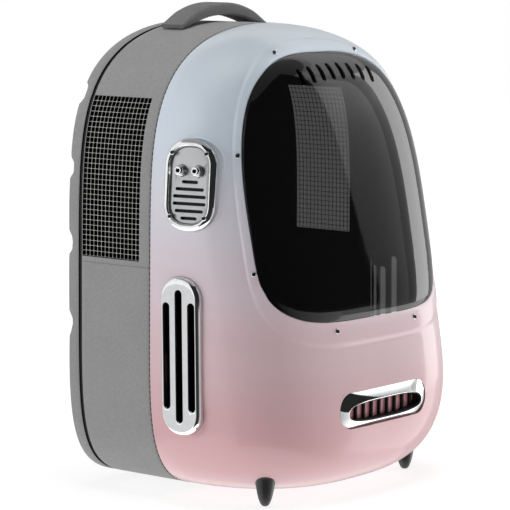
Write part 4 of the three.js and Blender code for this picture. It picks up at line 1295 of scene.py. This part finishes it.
# Pale floor and backdrop, soft lights, and panels that only the gloss mirrors
studio = dict(
    floorReach=6, floorGlow=(0.82, 1), floorFade=(0.5, 1.8), floorTone=(150, 150, 150),
    lightReach=2.8, lightTarget=(0, 0, 0.22), liftHeight=20, panelPoints=(49, 25),
    lights=[  # name, azimuth, elevation, size, power
        ("topSoft", 0, 90, 1.8, 50),
        ("rightSoft", 60, 10, 1.6, 27),
        ("frontFill", 30, 10, 1.6, 19),
        ("leftSoft", -122, 10, 1.6, 28),
        ("leftHigh", -90, 40, 1.6, 11),
    ],
    panels=[  # name, azimuths, elevations, reach, strengths from left to right, lift with height
        ("backdrop", (-180, 180), (-2, 62), 6, (1, 1), 0),
        ("backdropHigh", (-180, 180), (15, 46), 5.6, (0.9, 0.9), 0),
        ("backdropTop", (-180, 180), (46, 90), 5.6, (0.3, 0.3), 0),
        ("darkCard", (-90, 52.5), (-2, 62), 4.6, (0.02, 0.02), 0),
        ("darkCardLow", (-90, -30), (-45, -2), 4.6, (0.03, 0.03), 0),
        ("duskCardLow", (-30, 46), (-45, -2), 4.6, (0, 1.2), 0),
        ("frontFloor", (46, 80), (-30, -6), 4.6, (2.6, 2.6), 0),
        ("greyCard", (52.5, 60), (-6, 46), 4.6, (0.33, 0.68), 1.8),
        ("slimCard", (60, 66), (-6, 46), 4.6, (0.4, 0.6), 1.8),
        ("softPanel", (66, 86), (-6, 32), 4.6, (4.2, 2.8), 0),
        ("rightCard", (86, 135), (-30, 32), 4.6, (0.7, 0.5), 0),
        ("browPanel", (66, 110), (32, 44), 4.6, (1.6, 1), 0),
        ("floorMirror", (-180, 180), (-30, -2), 6, (0.9, 0.9), 0),
        ("floorMirrorLow", (-180, 180), (-90, -30), 6, (1.6, 1.6), 0),
        ("sideCard", (-160, -90), (-30, -2), 4.6, (0.72, 0.72), 0),
    ],
)


def aroundAt(azimuth, elevation, reach):
    turn, rise = np.radians(azimuth), np.radians(elevation)
    return np.stack([reach * np.sin(turn) * np.cos(rise), -reach * np.cos(turn) * np.cos(rise),
                     reach * np.sin(rise) + 0 * turn], -1)


# Plain light, as strong as each panel's own attribute says
def makePanelGlow():
    finish = bpy.data.materials.new("panelGlow")
    finish.use_nodes = True
    tree = finish.node_tree
    tree.nodes.clear()
    glow = addNode(tree, "ShaderNodeAttribute", attribute_name="glow").outputs["Fac"]
    light = addNode(tree, "ShaderNodeEmission", {"Strength": glow}).outputs["Emission"]
    addNode(tree, "ShaderNodeOutputMaterial", {"Surface": light})
    return finish


def addStage(name, skin, finish):
    obj = addObject(name, newMesh(name, skin[0], skin[1]))
    obj.data.materials.append(finish)
    return obj


# Floor that glows white further out and takes a faint shadow below the carrier
def makeFloor():
    finish, tree, shader = newFinish("floorPale", Base_Color=fromScreen(*studio["floorTone"]), Roughness=1.0,
                                     Specular_IOR_Level=0.0, Emission_Color=(1, 1, 1, 1))
    away = addNode(tree, "ShaderNodeVectorMath", {0: objectPlace(tree)}, operation="LENGTH").outputs["Value"]
    glow = addRange(tree, away, *pick(studio, "floorFade floorGlow"))
    tree.links.new(glow, shader.inputs["Emission Strength"])
    reach = studio["floorReach"]
    corners = [(-reach, -reach, 0), (reach, -reach, 0), (reach, reach, 0), (-reach, reach, 0)]
    addStage("floor", (corners, [(0, 1, 2, 3)]), finish).visible_glossy = False


def makePanels():
    finish, (wide, tall) = makePanelGlow(), studio["panelPoints"]
    for name, across, rise, reach, strengths, lift in studio["panels"]:
        azimuths, elevations = np.linspace(*across, wide), np.linspace(*rise, tall)
        rings = [aroundAt(azimuths, elevation, reach) for elevation in elevations]
        panel = addStage(name, loft(rings, wrap=False), finish)
        lifted = 1 + lift * np.clip(elevations / studio["liftHeight"], 0, 1) ** 2
        glow = np.outer(lifted, np.linspace(*strengths, wide))
        panel.data.attributes.new("glow", "FLOAT", "POINT").data.foreach_set("value", glow.ravel())
        panel.visible_camera = panel.visible_transmission = name == "backdrop"
        panel.visible_diffuse = panel.visible_shadow = False


def makeLights():
    target = Vector(studio["lightTarget"])
    for name, azimuth, elevation, size, power in studio["lights"]:
        data = bpy.data.lights.new(name, "AREA")
        data.shape, data.size, data.energy = "DISK", size, power
        light = addObject(name, data)
        light.location = at = target + Vector(aroundAt(azimuth, elevation, studio["lightReach"]))
        light.rotation_euler = (target - at).to_track_quat("-Z", "Y").to_euler()
        light.visible_glossy = light.visible_camera = False


def makeStudio():
    scene = bpy.context.scene
    scene.view_settings.view_transform = "Standard"
    scene.world = bpy.data.worlds.new("studio")
    scene.world.use_nodes = True
    scene.world.node_tree.nodes["Background"].inputs["Strength"].default_value = 0.0
    makeFloor()
    makePanels()
    makeLights()


makeStudio()
print("studio made")
